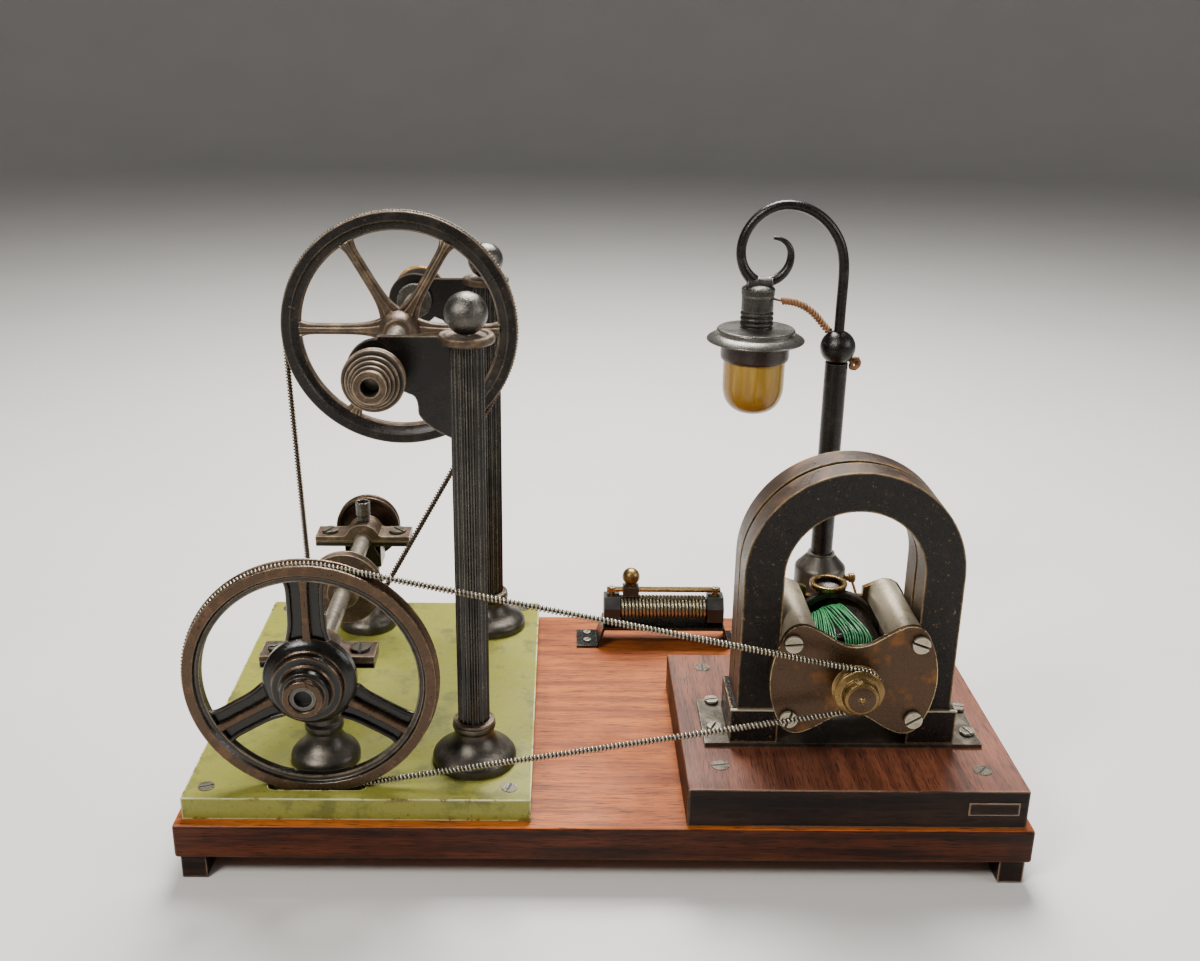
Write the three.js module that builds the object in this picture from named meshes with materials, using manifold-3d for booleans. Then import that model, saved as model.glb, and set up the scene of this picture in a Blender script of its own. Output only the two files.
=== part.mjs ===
// A demonstration lighting set: a countershaft and an upper shaft, joined by spring belts,
// turn a small dynamo that feeds a street lamp through a slide rheostat.
// Millimetres. X runs to the right, Y to the back, Z up. The origin is under the middle of the board.
import * as THREE from "three";
import { mergeVertices } from "three/addons/utils/BufferGeometryUtils.js";
import Module from "manifold-3d";

const wasm = await Module();
wasm.setup();

// ---- driving dimensions -------------------------------------------------------------------
const RUNNING = 0.12;             // radial clearance of a turning shaft
const SEAT = 0.05;                // radial clearance of a piece fixed on a shaft or in a hole
const GAP = 0.3;                  // gap between curved pieces that touch

const board = { length: 340, depth: 189, thickness: 15, batten: 10.25, battenWidth: 10 };
const boardTop = board.batten + board.thickness;

const machinePlate = { left: -166.75, right: -28.5, front: -89.5, back: 90.25, thickness: 9.5 };
const machineTop = boardTop + machinePlate.thickness;

const block = { left: 33, right: 166.75, front: -92.25, back: 20, thickness: 16.75 };
const blockTop = boardTop + block.thickness;

const frontRow = -59;             // Y of the front column and the front pedestal
const rearRow = 65.25;            // Y of the rear ones
const columnX = -52.5;
const drivePlane = -80;           // Y of the belt from the front wheel to the dynamo
const upperBeltPlane = 5.75;      // Y of the belt between the two shafts
const beltRadius = 1.45;

const counter = { x: -114.25, z: 82.5, shaftRadius: 3.75 };
const upper = { x: -85.25, z: 201.25, shaftRadius: 3.9 };
const dynamo = { x: 98.5, z: 79.25, shaftRadius: 3 };

const frontWheelBelt = 48.9;      // radii of the belts' centre lines
const dynamoPulleyBelt = 8.7;
const upperWheelBelt = 48.6;
const middlePulleyBelt = 15.7;

const lamp = { x: 109.5, y: 55.5, headX: -38 };
const rheostat = { x: 34.5, y: 67.5 };

// ---- materials ----------------------------------------------------------------------------
const material = (color, roughness, metalness) =>
  new THREE.MeshStandardMaterial({ color, roughness, metalness });
const mahogany = material(0x7a3c20, 0.55, 0);
const darkWood = material(0x4a2620, 0.6, 0);
const greenPaint = material(0x8b9440, 0.5, 0);
const japanned = material(0x1c1a18, 0.45, 0.3);
const wornIron = material(0x6b5848, 0.5, 0.7);
const steel = material(0x9a948a, 0.35, 0.9);
const brass = material(0x8a6f3c, 0.4, 0.9);
const magnetSteel = material(0x2c2622, 0.6, 0.6);
const greenSilk = material(0x3f9a63, 0.7, 0);
const amberGlass = material(0xb98a35, 0.2, 0);
const copperCloth = material(0x9a5b30, 0.8, 0);
const fibre = material(0x33312f, 0.7, 0);

// ---- solids -------------------------------------------------------------------------------
// Any closed three.js geometry becomes a solid: shared vertices merged, empty triangles dropped.
function solid(geometry) {
  const bare = geometry.clone();
  bare.deleteAttribute("normal");
  bare.deleteAttribute("uv");
  const merged = mergeVertices(bare, 1e-4);
  const vertProperties = new Float32Array(merged.attributes.position.array);
  const index = merged.index.array;
  const corners = [];
  for (let i = 0; i < index.length; i += 3) {
    const [a, b, c] = [index[i], index[i + 1], index[i + 2]];
    if (a !== b && b !== c && c !== a) corners.push(a, b, c);
  }
  if (signedVolume(vertProperties, corners) < 0) corners.reverse();
  return new wasm.Manifold(
    new wasm.Mesh({ numProp: 3, vertProperties, triVerts: new Uint32Array(corners) }));
}

function signedVolume(points, corners) {
  const [a, b, c] = [new THREE.Vector3(), new THREE.Vector3(), new THREE.Vector3()];
  let total = 0;
  for (let i = 0; i < corners.length; i += 3) {
    a.fromArray(points, 3 * corners[i]);
    b.fromArray(points, 3 * corners[i + 1]);
    c.fromArray(points, 3 * corners[i + 2]);
    total += a.dot(b.cross(c));
  }
  return total;
}

function geometryOf(body) {
  const mesh = body.getMesh();
  const geometry = new THREE.BufferGeometry();
  geometry.setAttribute("position", new THREE.BufferAttribute(new Float32Array(mesh.vertProperties), 3));
  geometry.setIndex(new THREE.BufferAttribute(new Uint32Array(mesh.triVerts), 1));
  geometry.computeVertexNormals();
  return geometry;
}

const join = (first, ...rest) => rest.reduce((sum, body) => sum.add(body), first);
const cut = (first, ...rest) => rest.reduce((left, body) => left.subtract(body), first);

function box(x0, x1, y0, y1, z0, z1) {
  const geometry = new THREE.BoxGeometry(x1 - x0, y1 - y0, z1 - z0);
  return solid(geometry.translate((x0 + x1) / 2, (y0 + y1) / 2, (z0 + z1) / 2));
}

// Turned pieces: each point of the profile is [radius, place along the axis].
const profileOf = (points) => points.map(([r, along]) => new THREE.Vector2(r, along));
const turnedAlongY = (points, sides = 20) => solid(new THREE.LatheGeometry(profileOf(points), sides));
const turnedAlongZ = (points, sides = 20) =>
  solid(new THREE.LatheGeometry(profileOf(points), sides).rotateX(Math.PI / 2));
const rodY = (r, y0, y1, sides = 20) => turnedAlongY([[0, y0], [r, y0], [r, y1], [0, y1]], sides);
const rodZ = (r, z0, z1, sides = 20) => turnedAlongZ([[0, z0], [r, z0], [r, z1], [0, z1]], sides);

function rodX(r, x0, x1, sides = 20) {
  const geometry = new THREE.CylinderGeometry(r, r, x1 - x0, sides).rotateZ(Math.PI / 2);
  return solid(geometry.translate((x0 + x1) / 2, 0, 0));
}

// A flat outline drawn in X and Z, with its thickness along Y.
function cutFromSheet(shape, y0, y1, curveSegments = 8) {
  const geometry = new THREE.ExtrudeGeometry(shape, { depth: y1 - y0, bevelEnabled: false, curveSegments });
  return solid(geometry.rotateX(Math.PI / 2).translate(0, y1, 0));
}

function tube(curve, radius, steps, sides = 12) {
  const section = new THREE.Shape().absarc(0, 0, radius, 0, 2 * Math.PI, false);
  return solid(new THREE.ExtrudeGeometry(section,
    { extrudePath: curve, steps, bevelEnabled: false, curveSegments: sides / 2 }));
}

const at = (x, z) => new THREE.Vector2(x, z);
const path = (points) => new THREE.CatmullRomCurve3(points.map(([x, y, z]) => new THREE.Vector3(x, y, z)));

const set = new THREE.Group();
function place(parent, name, body, finish, position = [0, 0, 0]) {
  const mesh = new THREE.Mesh(geometryOf(body), finish);
  mesh.name = name;
  mesh.position.set(...position);
  parent.add(mesh);
}

function assembly(x, y, z) {
  const group = new THREE.Group();
  group.position.set(x, y, z);
  set.add(group);
  return group;
}

// ---- board, battens, plate and block ------------------------------------------------------
const halfLength = board.length / 2;
const halfDepth = board.depth / 2;
place(set, "baseboard", box(-halfLength, halfLength, -halfDepth, halfDepth, board.batten, boardTop), mahogany);

const battenInset = 2;
for (const [name, side] of [["left_batten", -1], ["right_batten", 1]]) {
  const outer = side * (halfLength - battenInset);
  const inner = outer - side * board.battenWidth;
  place(set, name, box(Math.min(inner, outer), Math.max(inner, outer),
    -halfDepth + battenInset, halfDepth - battenInset, 0, board.batten), darkWood);
}

const slot = { left: -134, right: -94.5, width: 6.5, depth: 5 };
const slotCut = join(
  box(slot.left + slot.width / 2, slot.right - slot.width / 2, drivePlane - slot.width / 2,
    drivePlane + slot.width / 2, machineTop - slot.depth, machineTop + 1),
  ...[slot.left + slot.width / 2, slot.right - slot.width / 2].map((x) =>
    rodZ(slot.width / 2, machineTop - slot.depth, machineTop + 1, 24).translate([x, drivePlane, 0])));
place(set, "machine_plate", cut(box(machinePlate.left, machinePlate.right, machinePlate.front,
  machinePlate.back, boardTop, machineTop), slotCut), greenPaint);

place(set, "dynamo_block", box(block.left, block.right, block.front, block.back, boardTop, blockTop), darkWood);

// ---- columns, finials and brackets --------------------------------------------------------
const column = { shaft: 6.5, flute: 0.8, flutes: 16, collar: 8.5, foot: 17.25, collarTop: 18, spigot: 4 };
const eye = { radius: 10.5, thickness: 3.5 };
const ball = { radius: 8.1, rise: 7.5 };

function flutedShaft(z0, z1) {
  const outline = new THREE.Shape();
  for (let i = 0; i < 2 * column.flutes; i++) {
    const angle = (Math.PI * i) / column.flutes;
    const radius = column.shaft - (i % 2 ? column.flute : 0);
    const point = at(radius * Math.cos(angle), radius * Math.sin(angle));
    if (i === 0) outline.moveTo(point.x, point.y);
    else outline.lineTo(point.x, point.y);
  }
  const geometry = new THREE.ExtrudeGeometry(outline, { depth: z1 - z0, bevelEnabled: false });
  return solid(geometry.translate(0, 0, z0));
}

function columnBody(height) {
  const foot = turnedAlongZ([[0, 0], [column.foot, 0], [column.foot, 2.2], [15.2, 5.8], [12.2, 8.2],
    [8.5, 10.8], [7.8, 15], [column.collar, 15.6], [column.collar, column.collarTop],
    [0, column.collarTop]], 20);
  const spigot = rodZ(column.spigot, height - 1, height + eye.thickness - GAP, 16);
  return join(foot, flutedShaft(column.collarTop - 1, height), spigot);
}

// The bracket's sheet hangs from an eye round the column's spigot and carries a bearing boss.
const reach = columnX - upper.x;
function bracketBody(drop) {
  const sheet = { thickness: 2.5, endRadius: 12, top: eye.thickness - 1 };
  const edge = -(column.shaft + GAP);
  const outline = new THREE.Shape();
  outline.moveTo(edge + 1, sheet.top);
  outline.lineTo(-reach + 4, sheet.top);
  outline.absarc(-reach, -drop, sheet.endRadius, Math.PI / 2, 1.82 * Math.PI, false);
  outline.quadraticCurveTo(-reach + 14.5, -drop - 9, -reach + 14.2, -drop - 15.5);
  outline.quadraticCurveTo(-reach + 16, -drop - 21, edge, -drop - 26.5);
  outline.lineTo(edge, 0);
  outline.lineTo(edge + 1, 0);
  const plate = cutFromSheet(outline, -sheet.thickness / 2, sheet.thickness / 2, 6);
  const ring = turnedAlongZ([[column.spigot + SEAT, 0], [eye.radius, 0], [eye.radius + 0.4, eye.thickness / 2],
    [eye.radius, eye.thickness], [column.spigot + SEAT, eye.thickness], [column.spigot + SEAT, 0]], 18);
  const boss = rodY(8.2, -4.5, 4.5).translate([-reach, 0, -drop]);
  const bore = rodY(upper.shaftRadius + RUNNING, -10, 10).translate([-reach, 0, -drop]);
  return cut(join(ring, cut(plate, rodZ(column.spigot + 0.2, -1, eye.thickness + 1)), boss), bore);
}

const finialBody = () => {
  const steps = 8;
  const start = -Math.asin(ball.rise / ball.radius);
  const profile = [[0, 0]];
  for (let i = 0; i <= steps; i++) {
    const angle = start + ((Math.PI / 2 - start) * i) / steps;
    profile.push([i === steps ? 0 : ball.radius * Math.cos(angle), ball.rise + ball.radius * Math.sin(angle)]);
  }
  return turnedAlongZ(profile, 16);
};

for (const [side, y, height] of [["front", frontRow, 177], ["rear", rearRow, 173.75]]) {
  const group = assembly(columnX, y, machineTop);
  place(group, `${side}_column`, columnBody(height), japanned);
  place(group, `${side}_bracket`, bracketBody(machineTop + height - upper.z), japanned, [0, 0, height]);
  place(group, `${side}_finial`, finialBody(), steel, [0, 0, height + eye.thickness]);
}

// ---- bearing pedestals --------------------------------------------------------------------
const axisHeight = counter.z - machineTop;
const bearing = { depth: 13.5, width: 17.5, earSpan: 46, earThickness: 2.6, dome: 8.8, foot: 14.25 };

function pedestalBody() {
  const foot = turnedAlongZ([[0, 0], [bearing.foot, 0], [bearing.foot, 2.2], [12.2, 6], [8, 10], [7.1, 13],
    [8, 15], [8, 17.4], [6.3, 19.4], [6.2, 26], [8, 35], [8, 37], [0, 37]], 18);
  const head = box(-bearing.width / 2, bearing.width / 2, -bearing.depth / 2, bearing.depth / 2, 34, axisHeight);
  const ears = box(-bearing.earSpan / 2, bearing.earSpan / 2, -bearing.depth / 2, bearing.depth / 2,
    axisHeight - bearing.earThickness, axisHeight);
  const bore = rodY(counter.shaftRadius + RUNNING, -20, 20).translate([0, 0, axisHeight]);
  return cut(join(foot, head, ears), bore);
}

function bearingCapBody() {
  const half = bearing.depth / 2;
  const ears = box(-bearing.earSpan / 2, bearing.earSpan / 2, -half, half, 0, bearing.earThickness);
  const dome = rodY(bearing.dome, -half, half, 24).intersect(box(-20, 20, -20, 20, 0, 20));
  return cut(join(ears, dome), rodY(counter.shaftRadius + RUNNING, -20, 20), rodZ(1, 0, 20, 8));
}

const oilCup = { radius: 3.6, bore: 2.6, height: 9.5, floor: 2 };
const oilCupBody = () => cut(
  turnedAlongZ([[0, 0], [3.2, 0], [3.2, 2.5], [oilCup.radius, 3], [oilCup.radius, oilCup.height],
    [oilCup.bore, oilCup.height], [oilCup.bore, oilCup.floor], [0, oilCup.floor]], 16),
  box(-20, 20, -20, 20, -5, 0));

for (const [side, y] of [["front", frontRow], ["rear", rearRow]]) {
  const group = assembly(counter.x, y, machineTop);
  place(group, `${side}_pedestal`, pedestalBody(), wornIron);
  place(group, `${side}_bearing_cap`, bearingCapBody(), wornIron, [0, 0, axisHeight]);
  place(group, `${side}_oil_cup`, oilCupBody(), brass, [0, 0, axisHeight + bearing.dome + 0.25]);
}

// ---- wheels and pulleys -------------------------------------------------------------------
const ringY = (outer, inner, y0, y1, sides) =>
  turnedAlongY([[inner, y0], [outer, y0], [outer, y1], [inner, y1], [inner, y0]], sides);

// A bar that reaches from the hub to the rim, tapering, drawn upright and then turned.
function spoke(from, to, widthIn, widthOut, y0, y1, angle) {
  const outline = new THREE.Shape([at(-widthIn / 2, from), at(widthIn / 2, from),
    at(widthOut / 2, to), at(-widthOut / 2, to)]);
  return cutFromSheet(outline, y0, y1).rotate([0, angle, 0]);
}

const wheelSides = 36;
function frontWheelBody() {
  const [y0, y1] = [-2.7, 2.7];
  const rim = turnedAlongY([[42.4, -0.6], [46.4, -0.6], [46.4, y0], [49.4, y0], [49.4, -1.9], [47.1, -1.7],
    [47.1, 1.7], [50.4, 1.9], [50.4, y1], [42.4, y1], [42.4, -0.6]], wheelSides);
  const hub = turnedAlongY([[5.2, -16.2], [7.8, -16.2], [7.8, -13.4], [9.8, -12.4], [9.8, -8.6], [13.9, -8],
    [13.9, -5], [18.4, -1.2], [18.4, 2.7], [9, 6], [counter.shaftRadius + SEAT, 6],
    [counter.shaftRadius + SEAT, -7], [5.2, -7], [5.2, -16.2]]);
  const spokes = [0, 120, 240].map((angle) => join(
    spoke(15, 44, 17, 12.5, 0.2, y1, angle), spoke(13, 45.5, 4.6, 3.6, -2.2, 1, angle)));
  return join(rim, hub, ...spokes);
}

function upperWheelBody() {
  const rim = turnedAlongY([[41.2, -0.6], [45.2, -3], [49.4, -3], [49.4, -1.9], [46.8, -1.7], [46.8, 1.7],
    [49.4, 1.9], [49.4, 3], [41.2, 2], [41.2, -0.6]], wheelSides);
  const hub = turnedAlongY([[upper.shaftRadius + SEAT, -9], [6.4, -9], [8.4, -4], [8.4, 6],
    [7, 8], [upper.shaftRadius + SEAT, 8], [upper.shaftRadius + SEAT, -9]]);
  const spokes = [30, 90, 150, 210, 270, 330].map((angle) => spoke(7.5, 43, 7.5, 4.4, -2, 2, angle));
  return join(rim, hub, ...spokes);
}

const bored = (r, length = 60) => rodY(r, -length, length);

// Cone pulleys: steps that shrink away from the bracket, grooved for a round belt.
function conePulleyBody(openBore) {
  const profile = [[0, 0], [11.7, 0.8], [11.7, 5], [9.9, 5.2], [9.9, 7], [8.2, 7.4], [8.2, 10], [6.9, 10.4],
    [5.9, 13.6], [0, 13.6]];
  const body = turnedAlongY(profile);
  return openBore
    ? cut(body, rodY(upper.shaftRadius + SEAT, -1, 5), rodY(3.4, 0, 20))
    : cut(body, bored(upper.shaftRadius + SEAT));
}

function middlePulleyBody() {
  return turnedAlongY([[counter.shaftRadius + SEAT, -8], [7.2, -8], [7.2, -2.8], [16.8, -2.6], [16.8, -1.9],
    [14, -1.7], [14, 1.7], [16.8, 1.9], [16.8, 2.6], [7.2, 2.8], [7.2, 6], [counter.shaftRadius + SEAT, 6],
    [counter.shaftRadius + SEAT, -8]]);
}

function rearDiscBody() {
  return turnedAlongY([[counter.shaftRadius + SEAT, -1], [6.5, -1], [6.5, 1.5], [13.4, 1.5], [14, -2.5],
    [15.8, -2.5], [15.8, 3], [6.5, 3.6], [6, 6], [counter.shaftRadius + SEAT, 6],
    [counter.shaftRadius + SEAT, -1]]);
}

// ---- the countershaft and what it carries -------------------------------------------------
const countershaftGroup = assembly(counter.x, 0, counter.z);
place(countershaftGroup, "countershaft", rodY(counter.shaftRadius, drivePlane - 6.5, 86), steel);
place(countershaftGroup, "front_wheel", frontWheelBody(), wornIron, [0, drivePlane, 0]);
place(countershaftGroup, "middle_pulley", middlePulleyBody(), wornIron, [0, upperBeltPlane, 0]);
place(countershaftGroup, "rear_disc", rearDiscBody(), brass, [0, 79.5, 0]);

// ---- the upper shaft and what it carries --------------------------------------------------
const frontConeSeat = frontRow - 11.5;
const rearConeSeat = rearRow + 17.4;
const upperGroup = assembly(upper.x, 0, upper.z);
place(upperGroup, "upper_shaft", rodY(upper.shaftRadius, frontConeSeat - 4.5, rearConeSeat + 13), steel);
place(upperGroup, "upper_wheel", upperWheelBody(), wornIron, [0, upperBeltPlane, 0]);
place(upperGroup, "front_cone_pulley", conePulleyBody(true).rotate([180, 0, 0]), wornIron, [0, frontConeSeat, 0]);
place(upperGroup, "rear_cone_pulley", conePulleyBody(false), brass, [0, rearConeSeat, 0]);

// ---- the spring belts ---------------------------------------------------------------------
// A loop round two circles, as an outline at a given distance from the belt's centre line.
function beltOutline(Path, first, second, offset) {
  const [r1, r2] = [first.belt + offset, second.belt + offset];
  const across = Math.atan2(second.z - first.z, second.x - first.x);
  const distance = Math.hypot(second.x - first.x, second.z - first.z);
  const lean = Math.acos((first.belt - second.belt) / distance);
  const outline = new Path();
  outline.absarc(first.x, first.z, r1, across + lean, across + 2 * Math.PI - lean, false);
  outline.absarc(second.x, second.z, r2, across - lean, across + lean, false);
  outline.closePath();
  return outline;
}

function beltBody(first, second, y) {
  const loop = beltOutline(THREE.Shape, first, second, beltRadius);
  loop.holes.push(beltOutline(THREE.Path, first, second, -beltRadius));
  return cutFromSheet(loop, y - beltRadius, y + beltRadius, 20);
}

place(set, "upper_belt", beltBody({ ...counter, belt: middlePulleyBelt },
  { ...upper, belt: upperWheelBelt }, upperBeltPlane), brass);
place(set, "drive_belt", beltBody({ ...counter, belt: frontWheelBelt },
  { ...dynamo, belt: dynamoPulleyBelt }, drivePlane), steel);

// ---- the dynamo ---------------------------------------------------------------------------
const dynamoGroup = assembly(dynamo.x, 0, dynamo.z);
const magnet = { outer: 43.5, inner: 27.5, archZ: 39, foot: -20, depth: 12, front: -59.5, gap: 2.75 };
const magnetFloor = blockTop + 2 - dynamo.z;
const shoe = { front: -69.5, back: -26.5, half: 27.25, bore: 19.5, tipX: 20.75, tipZ: 17, tipRadius: 6.5 };

place(dynamoGroup, "magnet_plate", box(-56, 58, -61, -25.5, blockTop - dynamo.z, magnetFloor), magnetSteel);

for (const [name, side] of [["left_keeper", -1], ["right_keeper", 1]]) {
  const [inner, outer] = [side * 26.5, side * 46];
  place(dynamoGroup, name, box(Math.min(inner, outer), Math.max(inner, outer), -60.5, -31.5,
    magnetFloor, magnet.foot), magnetSteel);
}

function magnetBody() {
  const arch = new THREE.Shape();
  arch.moveTo(-magnet.outer, magnet.foot);
  arch.lineTo(-magnet.outer, magnet.archZ);
  arch.absarc(0, magnet.archZ, magnet.outer, Math.PI, 0, true);
  arch.lineTo(magnet.outer, magnet.foot);
  arch.lineTo(magnet.inner, magnet.foot);
  arch.lineTo(magnet.inner, magnet.archZ);
  arch.absarc(0, magnet.archZ, magnet.inner, 0, Math.PI, false);
  arch.lineTo(-magnet.inner, magnet.foot);
  return cutFromSheet(arch, 0, magnet.depth, 10);
}
place(dynamoGroup, "front_magnet", magnetBody(), magnetSteel, [0, magnet.front, 0]);
place(dynamoGroup, "rear_magnet", magnetBody(), magnetSteel, [0, magnet.front + magnet.depth + magnet.gap, 0]);

// The lobed outline shared by the end plates: a half is drawn and mirrored.
const lobe = { x: 22, z: 17.5, radius: 6.5, waist: 14.6, side: 34 };
function endPlateOutline(grow = 0) {
  const radius = lobe.radius + grow;
  const side = lobe.side + grow;
  const waist = lobe.waist + grow;
  const outline = new THREE.Shape();
  outline.moveTo(0, waist);
  outline.bezierCurveTo(7, waist, 10, lobe.z + 2, lobe.x - 5, lobe.z + radius - 1.5);
  outline.bezierCurveTo(lobe.x - 1, lobe.z + radius + 1, lobe.x + 5, lobe.z + radius, lobe.x + 7, lobe.z);
  outline.bezierCurveTo(side, 8, side, -8, lobe.x + 7, -lobe.z);
  outline.bezierCurveTo(lobe.x + 5, -lobe.z - radius, lobe.x - 1, -lobe.z - radius - 1,
    lobe.x - 5, -lobe.z - radius + 1.5);
  outline.bezierCurveTo(10, -lobe.z - 2, 7, -waist, 0, -waist);
  outline.bezierCurveTo(-7, -waist, -10, -lobe.z - 2, -lobe.x + 5, -lobe.z - radius + 1.5);
  outline.bezierCurveTo(-lobe.x + 1, -lobe.z - radius - 1, -lobe.x - 5, -lobe.z - radius, -lobe.x - 7, -lobe.z);
  outline.bezierCurveTo(-side, -8, -side, 8, -lobe.x - 7, lobe.z);
  outline.bezierCurveTo(-lobe.x - 5, lobe.z + radius, -lobe.x + 1, lobe.z + radius + 1,
    -lobe.x + 5, lobe.z + radius - 1.5);
  outline.bezierCurveTo(-10, lobe.z + 2, -7, waist, 0, waist);
  return outline;
}

function shoeBody() {
  const outline = new THREE.Shape();
  outline.moveTo(shoe.half, magnet.foot);
  outline.lineTo(shoe.half, shoe.tipZ);
  outline.absarc(shoe.tipX, shoe.tipZ, shoe.tipRadius, 0, Math.PI, false);
  outline.lineTo(shoe.tipX - shoe.tipRadius, magnet.foot);
  const between = cutFromSheet(outline, shoe.front, shoe.back);
  const ahead = cutFromSheet(endPlateOutline(-0.6), shoe.front, magnet.front - 0.5, 4)
    .intersect(box(shoe.tipX - shoe.tipRadius, 50, -100, 0, magnet.foot, 40));
  return cut(join(between, ahead), rodY(shoe.bore, -100, 0, 36));
}
place(dynamoGroup, "right_pole_shoe", shoeBody(), steel);
place(dynamoGroup, "left_pole_shoe", shoeBody().mirror([1, 0, 0]), steel);

const endPlateThickness = 2.5;
const bossRadius = 6.5;
const frontPlate = join(cutFromSheet(endPlateOutline(), shoe.front - endPlateThickness, shoe.front, 4),
  rodY(bossRadius, shoe.front - endPlateThickness - 3, shoe.front + 1.5));
place(dynamoGroup, "front_end_plate", cut(frontPlate, bored(dynamo.shaftRadius + RUNNING, 200)), brass);

const cupOffset = -2.5;
const rearPlate = join(
  cutFromSheet(endPlateOutline(-1), shoe.back, shoe.back + endPlateThickness, 4),
  rodY(16.5, shoe.back, shoe.back + endPlateThickness, 28),
  rodY(bossRadius, shoe.back, shoe.back + endPlateThickness + 4));
const cupSeat = 15.6;
place(dynamoGroup, "rear_end_plate", cut(rearPlate, bored(dynamo.shaftRadius + RUNNING, 200),
  box(-20, 20, -60, 0, cupSeat, 40).intersect(box(-12, 12, -60, 0, 0, 60))), brass);

const dynamoCup = turnedAlongZ([[0, 0], [4.2, 0], [4.2, 2.6], [7.4, 3.4], [7.9, 4.4], [7.9, 6], [5.8, 6],
  [5.2, 3.4], [2, 2], [0, 2]], 20);
place(dynamoGroup, "dynamo_oil_cup", dynamoCup, brass, [cupOffset, shoe.back + endPlateThickness / 2, cupSeat]);

// ---- the armature -------------------------------------------------------------------------
const core = { radius: 18.75, front: -64, back: -36, web: 9, slot: 17 };
const winding = { front: -67.5, back: -33.25, height: 15.2 };
const armatureBodies = assembly(dynamo.x, 0, dynamo.z);
place(armatureBodies, "armature_shaft", rodY(dynamo.shaftRadius, drivePlane - 3, -17), steel);

const slotSide = (side) => box(-core.slot / 2, core.slot / 2, -100, 0,
  side > 0 ? core.web / 2 : -40, side > 0 ? 40 : -core.web / 2);
place(armatureBodies, "armature_core", cut(rodY(core.radius, core.front, core.back, 32), slotSide(1),
  slotSide(-1), rodY(dynamo.shaftRadius + SEAT, -100, 0)), magnetSteel);

const coil = cut(
  box(-core.slot / 2 + GAP, core.slot / 2 - GAP, winding.front, winding.back, -winding.height, winding.height)
    .intersect(rodY(core.radius - 1.2, -100, 0, 32)),
  box(-20, 20, core.front - GAP, core.back + GAP, -core.web / 2 - GAP, core.web / 2 + GAP),
  rodY(dynamo.shaftRadius + GAP, -100, 0));
place(armatureBodies, "armature_winding", coil, greenSilk);

const commutator = { radius: 6, front: -32.75, back: -28.25 };
place(armatureBodies, "commutator", cut(rodY(commutator.radius, commutator.front, commutator.back),
  rodY(dynamo.shaftRadius + SEAT, -100, 0)), brass);

place(armatureBodies, "dynamo_pulley", cut(turnedAlongY([[0, -8.5], [3.5, -8.2], [6.8, -6.2],
  [7, -3.4], [9.8, -2.6], [9.8, -1.9], [7, -1.7], [7, 1.7], [9.8, 1.9], [9.8, 2.8], [5, 4], [0, 4]], 20),
  rodY(dynamo.shaftRadius + SEAT, -3.2, 20)), brass, [0, drivePlane, 0]);

// Strip springs that press on the commutator from the rear end plate.
for (const [name, side] of [["upper_brush", 1], ["lower_brush", -1]]) {
  const near = commutator.radius + 0.2;
  const strip = box(-2, 2, commutator.front + 1, shoe.back - GAP, near, near + 0.8);
  const tab = box(-2, 2, shoe.back - 1.1, shoe.back - GAP, near, near + 5);
  const body = join(strip, tab);
  place(dynamoGroup, name, side > 0 ? body : body.mirror([0, 0, 1]), brass);
}

// ---- the street lamp ----------------------------------------------------------------------
const lampGroup = assembly(lamp.x, lamp.y, 0);
const post = { radius: 5.2, foot: 80.25, ballZ: 182, ballRadius: 8.05, neck: 2.35 };
place(lampGroup, "lamp_base", turnedAlongZ([[0, boardTop], [15.5, boardTop], [15.5, 29], [12.8, 31],
  [12.2, 33], [12.2, 72.5], [11.8, 73.8], [7, 78.2], [6.4, 79.2], [6.2, post.foot], [0, post.foot]], 18), japanned);
const postTop = post.ballZ - 7.2;
place(lampGroup, "lamp_post", rodZ(post.radius, post.foot, postTop, 20), japanned);

function sphereBetween(radius, low, high, sides) {
  const steps = 8;
  const [start, end] = [Math.asin(low / radius), Math.asin(high / radius)];
  const profile = [[0, low]];
  for (let i = 0; i <= steps; i++) {
    const angle = start + ((end - start) * i) / steps;
    profile.push([radius * Math.cos(angle), radius * Math.sin(angle)]);
  }
  profile.push([0, high]);
  return turnedAlongZ(profile, sides);
}
const ballTop = 7.5;
place(lampGroup, "lamp_ball", sphereBetween(post.ballRadius, -7.2, ballTop, 16), japanned, [0, 0, post.ballZ]);

// The crook rises from the ball, turns over to the left and curls up again past the socket.
const neckFoot = post.ballZ + ballTop;
const crook = path([[0, 0, neckFoot], [0, 0, 203], [0.2, 0, 217.5], [-1.6, 0, 228], [-7, 0, 237.6],
  [-15.5, 0, 244], [-26.5, 0, 246.8], [-37.5, 0, 243.8], [-44.8, 0, 236.4], [-47, 0, 226.5], [-43.8, 0, 217],
  [-38, 0, 211.6]]);
const curl = path([[-38, 0, 211.6], [-32.4, 0, 212.2], [-26.6, 0, 216], [-24, 0, 222.6], [-25.6, 0, 229],
  [-32.6, 0, 231.8]]);
const socketTop = 211.25;
const swanNeck = join(tube(crook, post.neck, 26, 8), tube(curl, 1.7, 10, 8));
place(lampGroup, "swan_neck", cut(swanNeck, box(-60, -20, -20, 20, 200, socketTop + 0.1),
  box(-20, 20, -20, 20, 150, neckFoot)), japanned);

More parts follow.
